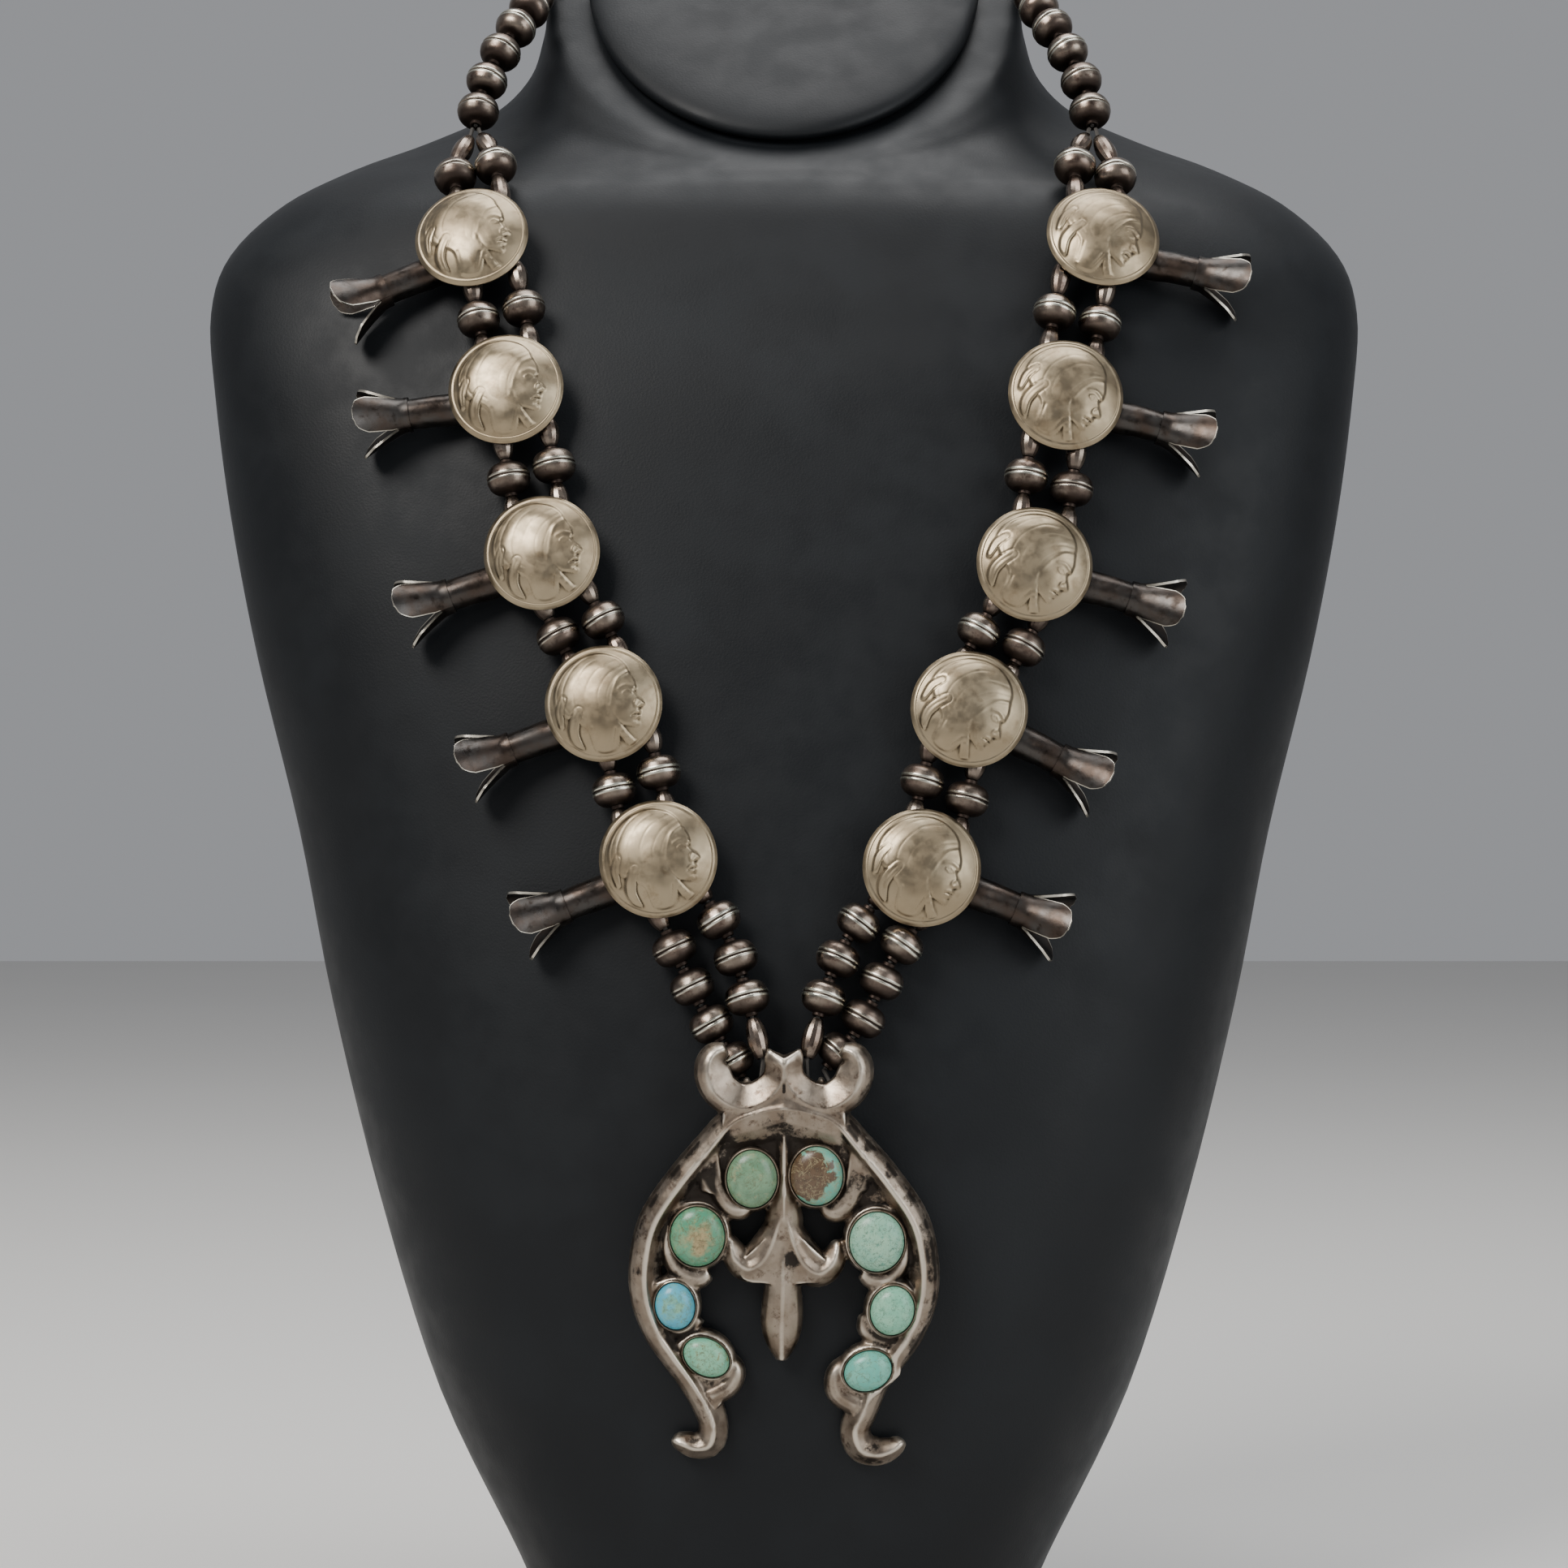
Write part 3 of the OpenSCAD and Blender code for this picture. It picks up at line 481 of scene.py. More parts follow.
def strandItems(side, outer):
    gap = strand["gap"]
    turn = vec(side, 1, 1)
    top = [cupEnd(side, 0, outer, True), vec(*splitKnees[0 if outer else 1]) * turn, neckPath[0] * turn]
    first, second = (np.linalg.norm(top[k + 1] - top[k]) for k in (0, 1))
    items = laid(top, [(first - beadLen - 2 * gap, False), (beadLen, True),
                       (second - strand["splitGap"] - gap, False)], gap, gap)
    for i in range(4):
        path = [cupEnd(side, i, outer, False), cupEnd(side, i + 1, outer, True)]
        length = (pathLength(path) - beadLen - 4 * gap) / 2
        items += laid(path, [(length, False), (beadLen, True), (length, False)], gap, gap)
    low = [cupEnd(side, 4, outer, False)] + [overFront(*p) for p in lowRuns[side, outer]]
    if outer:
        order = [(lowOlives[side][0], False)] + [(beadLen, True)] * 4
    else:
        order = [(lowOlives[side][1], False)] + [(beadLen, True)] * 3 + [(strand["olive"], False)]
    return items + laid(low, order, gap, strand["curveGap"])


def neckItems(side):
    route = [curve(neckPath, u * 0.5) * vec(side, 1, 1) for u in range(2 * len(neckPath) - 1)]
    room = pathLength(route) - strand["splitGap"] / 4 - strand["clasp"] / 2
    count = int(room // (beadLen + strand["curveGap"]))
    return laid(route, [(beadLen, True)] * count, strand["splitGap"] / 4, strand["curveGap"])


najaHead = overFront(0, 115, 8.6)
najaRise = najaHead - overFront(0, 45, 1)
najaFrame = frameAt(najaHead, np.cross([1, 0, 0], najaRise), najaRise)
print("frames ready")

# bust and cap

leatherMaterial = leather()
bustLook = {"sides": 112, "perRow": 5, "capRows": 26}


def squared(v, power):
    return np.sign(v) * np.abs(v) ** (2 / power)


def bustSkin(u, v):
    rows = np.array([curve(bustRows, min(x, 0.999999) * topRow) for x in np.unique(u)])
    row = rows[np.searchsorted(np.unique(u), u)]
    a = v * 2 * np.pi
    x, y = squared(np.cos(a), row[:, 5]), squared(np.sin(a), row[:, 5])
    return np.stack([row[:, 4] * x, (row[:, 0] + row[:, 2]) / 2 + y * (row[:, 2] - row[:, 0]) / 2,
                     (row[:, 1] + row[:, 3]) / 2 + y * (row[:, 3] - row[:, 1]) / 2], 1)


bust = sheet("bust", topRow * bustLook["perRow"], bustLook["sides"], bustSkin)
closeUp(bust)
smooth(bust, 40)
finished(bust, leatherMaterial, "neck_bust")

row = bustRows[topRow]
capMiddle = vec(0, (row[0] + row[2]) / 2, (row[1] + row[3]) / 2)
slope = vec(0, row[2] - row[0], row[3] - row[1])
capNormal = unit(np.cross([1, 0, 0], slope))
capHalf = (row[4] - 0.6, np.linalg.norm(slope) / 2 - 0.6)
capProfile = np.array([
    [0, 0], [0.6, 0], [0.94, 0], [0.985, 0.08], [1, 0.25], [1, 0.45], [0.985, 0.62], [0.95, 0.76],
    [0.88, 0.87], [0.76, 0.94], [0.5, 0.985], [0, 1]])


def capSkin(u, v):
    p = np.array([curve(capProfile, x * (len(capProfile) - 1)) for x in np.unique(u)])
    level = p[np.searchsorted(np.unique(u), u)]
    a = v * 2 * np.pi
    return (capMiddle + capNormal * (0.3 + level[:, 1] * 4.5)[:, None]
            + level[:, :1] * (np.cos(a)[:, None] * vec(capHalf[0], 0, 0)
                              + np.sin(a)[:, None] * unit(slope) * capHalf[1]))


cap = sheet("cap", bustLook["capRows"], bustLook["sides"], capSkin)
closeUp(cap)
smooth(cap, 60)
finished(cap, leatherMaterial, "neck_cap")
print("bust and cap")

# naja

castSilver = silver("castSilver", (0.285, 0.238, 0.19), (0.19, 0.148, 0.112), (0.085, 0.058, 0.042),
                    (0.015, 0.013, 0.012), 0.35, (-0.85, -0.3), 4.5, 0.035, None, (0.55, 0.49, 0.41), True)
# swell makes up for what the smoothing takes off, plates are the heights under stones 1 to 4, and seat is
# the height that the stones stand on
najaLook = {"voxel": 0.29, "smooth": 0.5, "rounds": 3, "swell": 0.2, "bezelWall": 0.36, "bezelHigh": 3.6,
            "plates": (2.4, 2.5, 2.9, 2.9), "seat": 2.15, "bezelWear": -0.3, "bezelTarnish": 0.42,
            "wearRounds": 26, "wearScale": 0.3, "hullSides": 28, "bezelSides": 64, "stoneSides": 56}
# x, y, half width, half height and turn of each stone, and the point of the arm that carries it
stoneSeats = {
    "left": [[-5.5, -22.9, 4.3, 5, 0, -11.4, -17.5], [-14.9, -33, 4.7, 5.2, 0, -21, -29.5],
             [-18.8, -45.2, 3.4, 4.1, 8, -23, -43.5], [-13.4, -54.2, 4.2, 3.15, -31, -18, -54]],
    "right": [[5.6, -22.4, 4.5, 5.1, 0, 11.4, -17.5], [16, -33.9, 4.7, 5.2, 0, 21.5, -31],
              [18.7, -46, 3.75, 4.3, -14, 23, -45], [14.5, -56.6, 4.2, 3.45, 22, 18.5, -56.5]]}
# members of the casting along their middles: x, y, half width, height
hornRows = [
    [-9.9, -0.6, 0.9, 2.6], [-11.9, -1.9, 2.3, 3.6], [-12.4, -4.6, 3, 4.2], [-11, -7.8, 3.1, 4.4],
    [-7.6, -9.8, 3, 4.4], [-4, -9, 2.8, 4.4], [-1.2, -6.4, 2.6, 4.3], [-0.6, -3.8, 2.5, 4.2],
    [-0.95, -2.5, 2.2, 4.1], [-0.6, -1.6, 2.2, 3.8]]
armRows = [
    [0.5, -10.4, 2.1, 4.9], [-4.5, -11.3, 2.2, 4.7], [-9, -13.4, 2.4, 4.5], [-13, -18, 2.6, 4.4],
    [-17.6, -23.6, 2.7, 4.3], [-22.2, -30.6, 2.7, 4.3], [-23.9, -37.7, 2.7, 4.3], [-23.8, -43.8, 2.7, 4.2],
    [-22, -49.5, 2.6, 4.1], [-19.2, -54, 2.5, 4], [-16, -58.6, 2.4, 3.9]]
footRows = {
    -1: [[-13.3, -63.3, 2.5, 3.8], [-12.2, -66.8, 2.4, 3.8], [-12.9, -69.8, 2.5, 3.6],
         [-15.3, -70.5, 2.2, 3.2], [-17.4, -69.9, 1.8, 2.9], [-18.8, -69.4, 1.2, 2.4],
         [-19.4, -69.1, 0.4, 1.7]],
    1: [[13.5, -64.4, 2.5, 3.8], [12.3, -67.6, 2.5, 3.8], [13.4, -70.7, 2.6, 3.6], [16.2, -71.6, 2.4, 3.2],
        [18.6, -71, 1.9, 2.9], [20.2, -70, 1.2, 2.4], [20.8, -69.5, 0.4, 1.7]]}
dropRows = [
    [0, -12, 1.8, 3.3], [0, -18, 1.7, 3.6], [0, -22.5, 1.4, 3.8], [0, -26.5, 2.2, 4.1], [0, -30.5, 3.2, 4],
    [0, -34, 2.6, 3.4]]
leafRows = [
    [-0.1, -35, 1.8, 3.5], [-0.2, -38, 2.8, 3.9], [-0.2, -42, 3, 4.2], [-0.3, -46, 3.45, 4.2],
    [-0.4, -49.5, 3.4, 3.9], [-0.4, -52.6, 2.4, 3.2], [-0.4, -55.3, 0.8, 2]]
flukeRows = [
    [-0.3, -28.6, 1.5, 3.9], [-1.2, -32, 2.3, 4], [-3.2, -36.7, 3.4, 3.9], [-5.9, -38.6, 2.9, 3.8],
    [-8.1, -37.3, 2.3, 3.5], [-9, -35.3, 1.7, 3], [-9.2, -33.9, 1, 2.4], [-9.2, -33.3, 0.4, 1.8]]
scrollRows = [
    [[-12, -19.6, 1.3, 2.8], [-11.5, -24.2, 1.7, 3.2], [-9.7, -27.6, 2.1, 3.2], [-7.5, -28.4, 2.1, 3],
     [-5.9, -27.9, 1.2, 2.4]],
    [[-20, -30.6, 1.2, 2.6], [-20, -35.6, 1.4, 2.9], [-18, -39.2, 1.9, 3.1], [-15.1, -40.5, 2.2, 3],
     [-13, -39.6, 1.4, 2.4]],
    [[-19.4, -50.4, 1.2, 2.6], [-16.4, -49.6, 1.3, 2.7], [-14.9, -47.6, 1.2, 2.5]],
    [[-9.4, -54.6, 0.8, 2.4], [-8.4, -57, 1.6, 3], [-9.6, -59.6, 2, 3.2], [-12.8, -61.4, 2, 3.4]],
    [[12.6, -19.6, 1.5, 2.8], [12.2, -23.8, 2, 3.2], [10.8, -27.2, 2.4, 3.2], [8.7, -28.7, 2.3, 3],
     [6.8, -28, 1.3, 2.4]],
    [[21.2, -33, 1.2, 2.6], [20.6, -37.4, 1.5, 2.9], [18.3, -40.4, 1.9, 3.1], [15.7, -40.8, 2.1, 3],
     [13.7, -39.5, 1.4, 2.4]],
    [[20.6, -51.4, 1.2, 2.6], [16.8, -51.6, 1.4, 2.8], [14.3, -49.8, 1.5, 2.6], [13.9, -47.2, 0.8, 2.2]],
    [[10.6, -55.2, 0.8, 2.4], [9, -57.6, 1.6, 3], [9.6, -60.9, 2.2, 3.2], [12.8, -63, 2, 3.4]]]
# webs that fill between the members, as rounds of x, y, radius and height, on the right and mirrored
webs = [
    [[0, -8.8, 0.4, 4.1], [7.8, -11.6, 1, 4.1], [9.7, -11.8, 0.9, 3.8], [9.4, -13, 1.2, 4.1],
     [0, -11.2, 1.5, 4.4]],
    [[0, -6, 0.5, 3.9], [0, -9.6, 0.9, 4.2], [1.6, -9.4, 0.6, 4]],
    [[0, -11.5, 1, 4.6], [8.6, -14, 1, 4.1], [0, -15.2, 1, 2.35], [9.6, -17, 1, 2.35]],
    [[12, -18, 1.5, 2.3], [8, -13.6, 1.5, 2.3], [0, -12, 1.5, 2.3], [0, -19, 1.5, 2.3], [7, -20, 1.5, 2.3]],
    [[11.4, -18, 1.2, 1.9], [15.8, -22, 1, 1.9], [17.4, -26, 1, 1.9], [11.6, -27, 1.2, 1.9]],
    [[12.4, -18.2, 1, 3.1], [14.4, -20.6, 0.8, 2.9], [12, -24.4, 1.4, 2.9], [13.6, -24.6, 0.8, 2.3]],
    [[0, -33, 2, 3.4], [0, -39.2, 2.4, 3.4], [5.4, -38.8, 2.4, 2.9]]]
footWebs = [[-13.4, -56.8, -12.5, -61.6], [14.2, -59.2, 13.2, -63.2]]  # under the lowest stones
# sections: across and up, as shares of half width and height; the arms' outer side is positive
sections = {
    "horn": [[-1, 0], [-1, 0.45], [-0.4, 0.75], [0.16, 0.99], [0.24, 1], [0.5, 0.9], [0.78, 0.66],
             [0.96, 0.34], [1, 0]],
    "arm": [[-1, 0], [-0.95, 0.28], [-0.52, 0.62], [-0.1, 0.97], [0, 1], [0.16, 0.96], [0.55, 0.76],
            [0.86, 0.46], [1, 0.15], [1, 0]],
    "leaf": [[-1, 0], [-0.97, 0.32], [-0.74, 0.62], [-0.4, 0.83], [-0.08, 0.98], [0, 1], [0.08, 0.98],
             [0.4, 0.83], [0.74, 0.62], [0.97, 0.32], [1, 0]],
    "lobe": [[-1, 0], [-0.97, 0.34], [-0.8, 0.64], [-0.45, 0.9], [0, 1], [0.45, 0.9], [0.8, 0.64],
             [0.97, 0.34], [1, 0]]}
# black patches of tarnish on the casting: x, y, radius, strength
tarnishSpots = [
    [14.6, -17.4, 1.6, 0.75], [18.2, -21.4, 1.7, 0.7], [21.8, -26, 1.8, 0.7], [24.6, -31, 1.8, 0.6],
    [-14.8, -17.6, 1.6, 0.55], [-18.6, -22, 1.7, 0.62], [-22, -27, 1.8, 0.6], [-5, -16.6, 2, 0.6],
    [5, -16.2, 2, 0.6], [-11.5, -9.5, 1.8, 0.3], [12.4, -9, 2.4, 0.5], [-8, -15.2, 3, 0.5],
    [8, -15, 3, 0.45], [-17.5, -22, 3.4, 0.42], [-23.6, -33, 3, 0.4], [16, -19, 3, 0.4],
    [22, -29, 3.2, 0.45], [-24.5, -46, 2.4, 0.4], [24.4, -50, 2.2, 0.5], [-18, -56, 2, 0.45],
    [18, -58, 2, 0.45], [-14.6, -24.4, 2.4, 0.7], [14.8, -24.8, 2, 0.6], [-10, -15.6, 2.2, 0.8],
    [-15.5, -19, 2.6, 0.5], [-22, -36, 1.6, 0.35], [-25, -39, 1.2, 0.5], [-19.3, -51, 2.4, 0.8],
    [-13, -23.4, 3.6, 0.75], [0, -15.5, 4.6, 0.7], [11.5, -15, 1.8, 0.9], [18.5, -21, 2.6, 0.55],
    [25, -37, 3.6, 0.75], [23, -52, 2.4, 0.8], [14.4, -8.5, 1.8, 0.8], [13.4, -24, 3.4, 0.55],
    [1.6, -37, 1.6, 0.9], [14.5, -71.5, 2.4, 0.6], [-13.5, -62, 1.8, 0.5], [-20.5, -38, 2.2, 0.6],
    [20.8, -40, 2.4, 0.6], [-18, -49.5, 2, 0.6], [18.6, -50.6, 2, 0.5], [-24.6, -31, 1.6, 0.45],
    [26, -45, 2.4, 0.6], [0, -45, 1.4, 0.2], [-15, -68.8, 1.5, 0.4]]


def step(v, low, high):
    t = np.clip((v - low) / (high - low), 0, 1)
    return t * t * (3 - 2 * t)


def castMember(rows, kind, side=1, pace=0.18):
    # a sweep along the rows; side turns the section over
    rows = np.array(rows, float)
    section = np.array(sections[kind])
    count = int(round((len(rows) - 1) / pace))
    rings = []
    for u in np.linspace(0, len(rows) - 1, count + 1):
        r = curve(rows, u)
        d = curve(rows, min(u + 0.1, len(rows) - 1)) - curve(rows, max(u - 0.1, 0))
        t = unit(vec(-d[1], d[0])) * side
        wide = r[2] + najaLook["swell"]
        rings.append([[r[0] + t[0] * c * wide, r[1] + t[1] * c * wide, h * r[3]] for c, h in section])
    rings = np.array(rings)

    def place(u, v):
        return rings[np.rint(u * count).astype(int), np.rint(v * len(section)).astype(int) % len(section)]

    obj = sheet("member", count, len(section), place)
    closeUp(obj)
    return obj


def hullOf(rounds):
    # a solid stretched over upright rounds: x, y, half width, half height, turn, thickness
    parts = []
    for x, y, w, h, turn, top in rounds:
        bpy.ops.mesh.primitive_cylinder_add(vertices=najaLook["hullSides"], radius=mm, depth=top * mm,
                                            location=(x * mm, y * mm, top * mm / 2),
                                            rotation=(0, 0, radians(turn)), scale=(w, h, 1))
        bpy.ops.object.transform_apply(location=True, rotation=True, scale=True)
        parts.append(bpy.context.active_object)
    obj = joined(parts, "plate")
    openEdit(obj)
    bpy.ops.mesh.convex_hull()
    bpy.ops.object.mode_set(mode="OBJECT")
    return obj


def mirrorRows(rows, side):
    return [[-side * x, *rest] for x, *rest in rows]


def seatOf(s):
    turn = Matrix.Rotation(radians(s[4]), 4, "Z")
    return blenderMatrix(najaFrame) @ Matrix.Translation(Vector((s[0] * mm, s[1] * mm, 0))) @ turn


def bezel(s):
    # a plain strip round a stone, with its upper edge rolled in
    w, h = s[2] + 0.1, s[3] + 0.1
    wall, high = najaLook["bezelWall"], najaLook["bezelHigh"]
    edge = [(0, 1.9), (0, high - 0.2), (0.2, high - 0.04), (0.5, high), (0.85, high - 0.12),
            (1, high - 0.45), (1.1, 1.6)]
    ring = lathe("bezel", [(1 + part * wall / w, z) for part, z in edge], najaLook["bezelSides"])
    ring.data.transform(Matrix.Diagonal((w, h, 1, 1)))
    ring.data.transform(seatOf(s))
    addFloat(ring, "wear", najaLook["bezelWear"])
    addFloat(ring, "tarnish", najaLook["bezelTarnish"])
    smooth(ring, 40)
    return ring


def najaCasting():
    allSeats = stoneSeats["left"] + stoneSeats["right"]
    parts = []
    for side in (-1, 1):
        # rows are written for the left half, whose outer side lies to the right of the path
        parts.append(castMember(mirrorRows(hornRows, side), "horn", side))
        arm = mirrorRows(armRows, side) + footRows[side]
        parts.append(castMember(arm, "arm", side))
        fluke = [[x, y - (0.8 if side > 0 else 0), *rest] for x, y, *rest in mirrorRows(flukeRows, side)]
        parts.append(castMember(fluke, "leaf"))
        parts += [hullOf([(side * x, y, r, r, 0, top) for x, y, r, top in web]) for web in webs]
        bpy.ops.mesh.primitive_torus_add(location=(side * 6.4 * mm, -8.2 * mm, -0.9 * mm),
                                         rotation=(0, pi / 2, 0), major_radius=1.75 * mm,
                                         minor_radius=0.6 * mm, major_segments=32, minor_segments=14)
        parts.append(named("backRing"))
        bpy.ops.object.transform_apply(location=True, rotation=True, scale=True)
    parts += [castMember(dropRows, "leaf"), castMember(leafRows, "leaf")]
    parts += [castMember(rows, "lobe") for rows in scrollRows]
    for s, top in zip(allSeats, najaLook["plates"] * 2):
        foot = (s[0], s[1], s[2] + 1.2, s[3] + 1.2, s[4], top - 1)
        face = (s[0], s[1], s[2] + 0.55, s[3] + 0.55, s[4], top)
        parts.append(hullOf([foot, face, (s[5], s[6], 1.8, 1.8, 0, top)]))
    parts += [hullOf([(x, y, 2.2, 2.2, 0, 2.5), (x2, y2, 1.9, 1.9, 0, 2.7)]) for x, y, x2, y2 in footWebs]
    obj = joined(parts, "najaCast")
    applied(obj, "REMESH", mode="VOXEL", voxel_size=najaLook["voxel"] * mm, use_smooth_shade=True)
    applied(obj, "SMOOTH", factor=najaLook["smooth"], iterations=najaLook["rounds"])
    co = points(obj) / mm
    beside = np.zeros(len(co))
    for s in allSeats:
        c, k = cos(radians(-s[4])), sin(radians(-s[4]))
        x, y = co[:, 0] - s[0], co[:, 1] - s[1]
        x, y = c * x - k * y, k * x + c * y
        inside = (x / (s[2] + 0.3)) ** 2 + (y / (s[3] + 0.3)) ** 2 < 1
        co[inside, 2] = np.minimum(co[inside, 2], najaLook["seat"])
        reach = np.hypot(x / (s[2] + 0.5), y / (s[3] + 0.5))
        beside = np.maximum(beside, step(1.4 - reach, 0, 0.3) * step(3.2 - co[:, 2], 0, 0.5))
    setPoints(obj, co * mm)
    markWear(obj, najaLook["wearRounds"], najaLook["wearScale"])
    normals = normalsOf(obj)
    stain = np.zeros(len(co))
    for x, y, r, strength in tarnishSpots:
        away = (co[:, 0] - x) ** 2 + (co[:, 1] - y) ** 2
        stain = np.maximum(stain, strength * np.exp(-away / (2 * r ** 2)))
    # the floor of the channel and the seam of the posts are darker than what stands above them
    low = step(3.3 - co[:, 2], 0, 0.8) * step(co[:, 2] - 0.9, 0, 0.6) * (normals[:, 2] > 0.5)
    seam = np.exp(-(co[:, 0] / 0.3) ** 2) * (co[:, 2] > 2)
    seam *= step(co[:, 1], -8.4, -7.4) * step(-co[:, 1], 1, 1.6)
    stain = np.clip(np.maximum(stain + 0.24 * low, 1.4 * seam) + 0.3 * beside, 0, 1.4)
    addFloat(obj, "tarnish", stain)
    obj.data.transform(blenderMatrix(najaFrame))
    return joined([obj] + [bezel(s) for s in allSeats], "najaCasting")


finished(najaCasting(), castSilver, "naja")
print("naja")

# ground, clouds and spots, veins and their size, then a blotch: colour, x and y off the middle, reach and
# softness
stoneLook = {
    "left": [
        ((0.14, 0.245, 0.145), (0.095, 0.185, 0.11), (0.22, 0.25, 0.14), (0.085, 0.09, 0.045), 2.2, None),
        ((0.06, 0.22, 0.13), (0.11, 0.26, 0.15), (0.2, 0.26, 0.13), (0.1, 0.075, 0.035), 2.6,
         ((0.3, 0.24, 0.12), 0.3, -0.1, 1.3, 2.6)),
        ((0.06, 0.32, 0.45), (0.09, 0.35, 0.42), (0.14, 0.36, 0.33), (0.1, 0.17, 0.13), 3.2,
         ((0.17, 0.36, 0.25), 0.4, -0.2, 1.1, 2.2)),
        ((0.13, 0.36, 0.24), (0.19, 0.4, 0.26), (0.17, 0.16, 0.07), (0.09, 0.08, 0.04), 2, None)],
    "right": [
        ((0.1, 0.3, 0.23), (0.15, 0.33, 0.23), (0.22, 0.28, 0.17), (0.24, 0.2, 0.115), 2.4,
         ((0.088, 0.054, 0.03), -1.6, 0.2, 4.5, 1)),
        ((0.18, 0.37, 0.27), (0.25, 0.42, 0.3), (0.1, 0.26, 0.19), (0.035, 0.075, 0.05), 1.6, None),
        ((0.16, 0.39, 0.27), (0.22, 0.43, 0.3), (0.12, 0.29, 0.2), (0.05, 0.11, 0.07), 1.5, None),
        ((0.1, 0.36, 0.29), (0.16, 0.4, 0.31), (0.085, 0.27, 0.23), (0.1, 0.13, 0.07), 2.6, None)]}
# levels of a stone: height, and share of its width
domeSteps = [
    (3.35, 1), (3.75, 0.975), (4.2, 0.91), (4.6, 0.81), (4.95, 0.67), (5.2, 0.49),
    (5.34, 0.28), (5.4, 0.1)]


def cabochon(name, s):
    # a disc whose top is extruded and drawn in, level by level
    bpy.ops.mesh.primitive_circle_add(vertices=najaLook["stoneSides"], radius=1, fill_type="NGON")
    obj = named(name)
    height, width = najaLook["seat"], 1
    setPoints(obj, points(obj) * [s[2] * mm, s[3] * mm, 1] + [0, 0, height * mm])
    openEdit(obj)
    for top, part in domeSteps:
        bpy.ops.mesh.extrude_region_move(TRANSFORM_OT_translate={"value": (0, 0, (top - height) * mm)})
        bpy.ops.transform.resize(value=(part / width, part / width, 1))
        height, width = top, part
    closeEdit()
    obj.data.transform(seatOf(s))
    smooth(obj, 50)
    return obj


for side in ("left", "right"):
    for i, s in enumerate(stoneSeats[side]):
        name = f"{side}_stone_{i + 1}"
        *colors, vein, veinSize, blotch = stoneLook[side][i]
        if blotch is not None:
            tint, x, y, reach, softness = blotch
            blotch = (tint, seatOf(s) @ Vector((x * mm, y * mm, domeSteps[3][0] * mm)), reach * mm, softness)
        shift = (i + 1.3, 2.1 * i, 5 if side == "left" else 9)
        look = stone(name, colors, vein, veinSize, shift, blotch)
        finished(cabochon(f"{side}Stone{i + 1}", s), look, name)
print("stones")

# blossoms

coinSilver = silver("coinSilver", (0.3, 0.245, 0.165), (0.265, 0.21, 0.137), (0.215, 0.165, 0.105),
                    (0.05, 0.036, 0.021), 0.36, (-0.8, -0.12), 9, 0.006)
stemSilver = silver("stemSilver", (0.056, 0.052, 0.049), (0.05, 0.037, 0.03), (0.024, 0.019, 0.016),
                    (0.015, 0.013, 0.012), 0.34, (-0.5, -0.1), 5, 0.03, None, (0.46, 0.43, 0.37))
coinLook = {"rings": 78, "around": 176, "raise": 0.27, "puff": 0.14, "hair": 0.034, "wornTo": 2.6,
            "clearFrom": 6.8, "worn": 0.25, "wearRounds": 14, "wearScale": 0.12,
            "field": 9.3, "lip": 0.16, "cupSides": 56}
# the head, round its edge
headOutline = [
    [5.2, 4.9], [6.1, 3.2], [6.3, 1.7], [5.9, 1], [6.5, 0], [7.5, -1.3], [6.4, -1.9], [6.7, -2.6],
    [6.3, -3], [6.5, -3.4], [6, -3.9], [6.2, -4.8], [5.5, -5.3], [3.5, -4.9], [2.7, -6.2], [1.4, -8.8],
    [-1.8, -8.7], [-2.9, -4.9], [-4.9, -3.4], [-7.6, -1.4], [-8.6, 0.6], [-8.2, 3.4], [-6.3, 6.3],
    [-3.4, 8.3], [0, 8.9], [3, 7.9], [4.6, 6.4]]
# raised shapes beside the head: path, half width, height
feathers = [([[-4.2, -1.4], [-5.2, -3.4], [-5.5, -5.4], [-4.7, -7.6]], 1, 0.36),
            ([[-6.9, 1], [-7.7, -0.8], [-7.6, -3.4]], 0.8, 0.32)]
braid = [[1.2, -2.4], [2.3, -4.6], [3.4, -6.4], [4.5, -7.7]]
# strokes on the head: path, half width, height
strokes = [
    ([[3.3, 1.8], [4.6, 2.25], [6.1, 1.75]], 0.34, 0.14),
    ([[3.9, 0.95], [4.6, 1.3], [5.4, 0.95]], 0.16, 0.12),
    ([[3.9, 0.75], [4.6, 0.45], [5.4, 0.75]], 0.16, 0.08), ([[4.4, 0.86], [4.9, 0.86]], 0.2, 0.07),
    ([[6.1, -0.5], [5.75, -0.9], [5.8, -1.5], [6.4, -1.6]], 0.22, 0.13),
    ([[6.8, -0.6], [7.2, -1.2]], 0.3, 0.08), ([[6.3, -3.02], [5.6, -2.96], [5, -3.15]], 0.15, -0.16),
    ([[6.6, -2.6], [5.6, -2.6], [5.1, -2.9]], 0.22, 0.09),
    ([[6.4, -3.45], [5.7, -3.5], [5.2, -3.3]], 0.22, 0.09), ([[6, -4], [5.4, -4.1]], 0.22, -0.08),
    ([[5.5, -5.2], [3.6, -4.8], [2.3, -3.6], [1.5, -1.6]], 0.3, -0.15),
    ([[3.2, -0.9], [3.9, -1.6]], 1.1, 0.1),
    ([[5.3, 4.8], [3.3, 3.6], [2.3, 1.6], [1.7, -0.6], [1.2, -2.4]], 0.3, 0.12),
    ([[1.9, -5.2], [1.1, -8.2]], 0.25, -0.1), ([[-2.2, -4.6], [-1.7, -8]], 0.25, -0.1)]
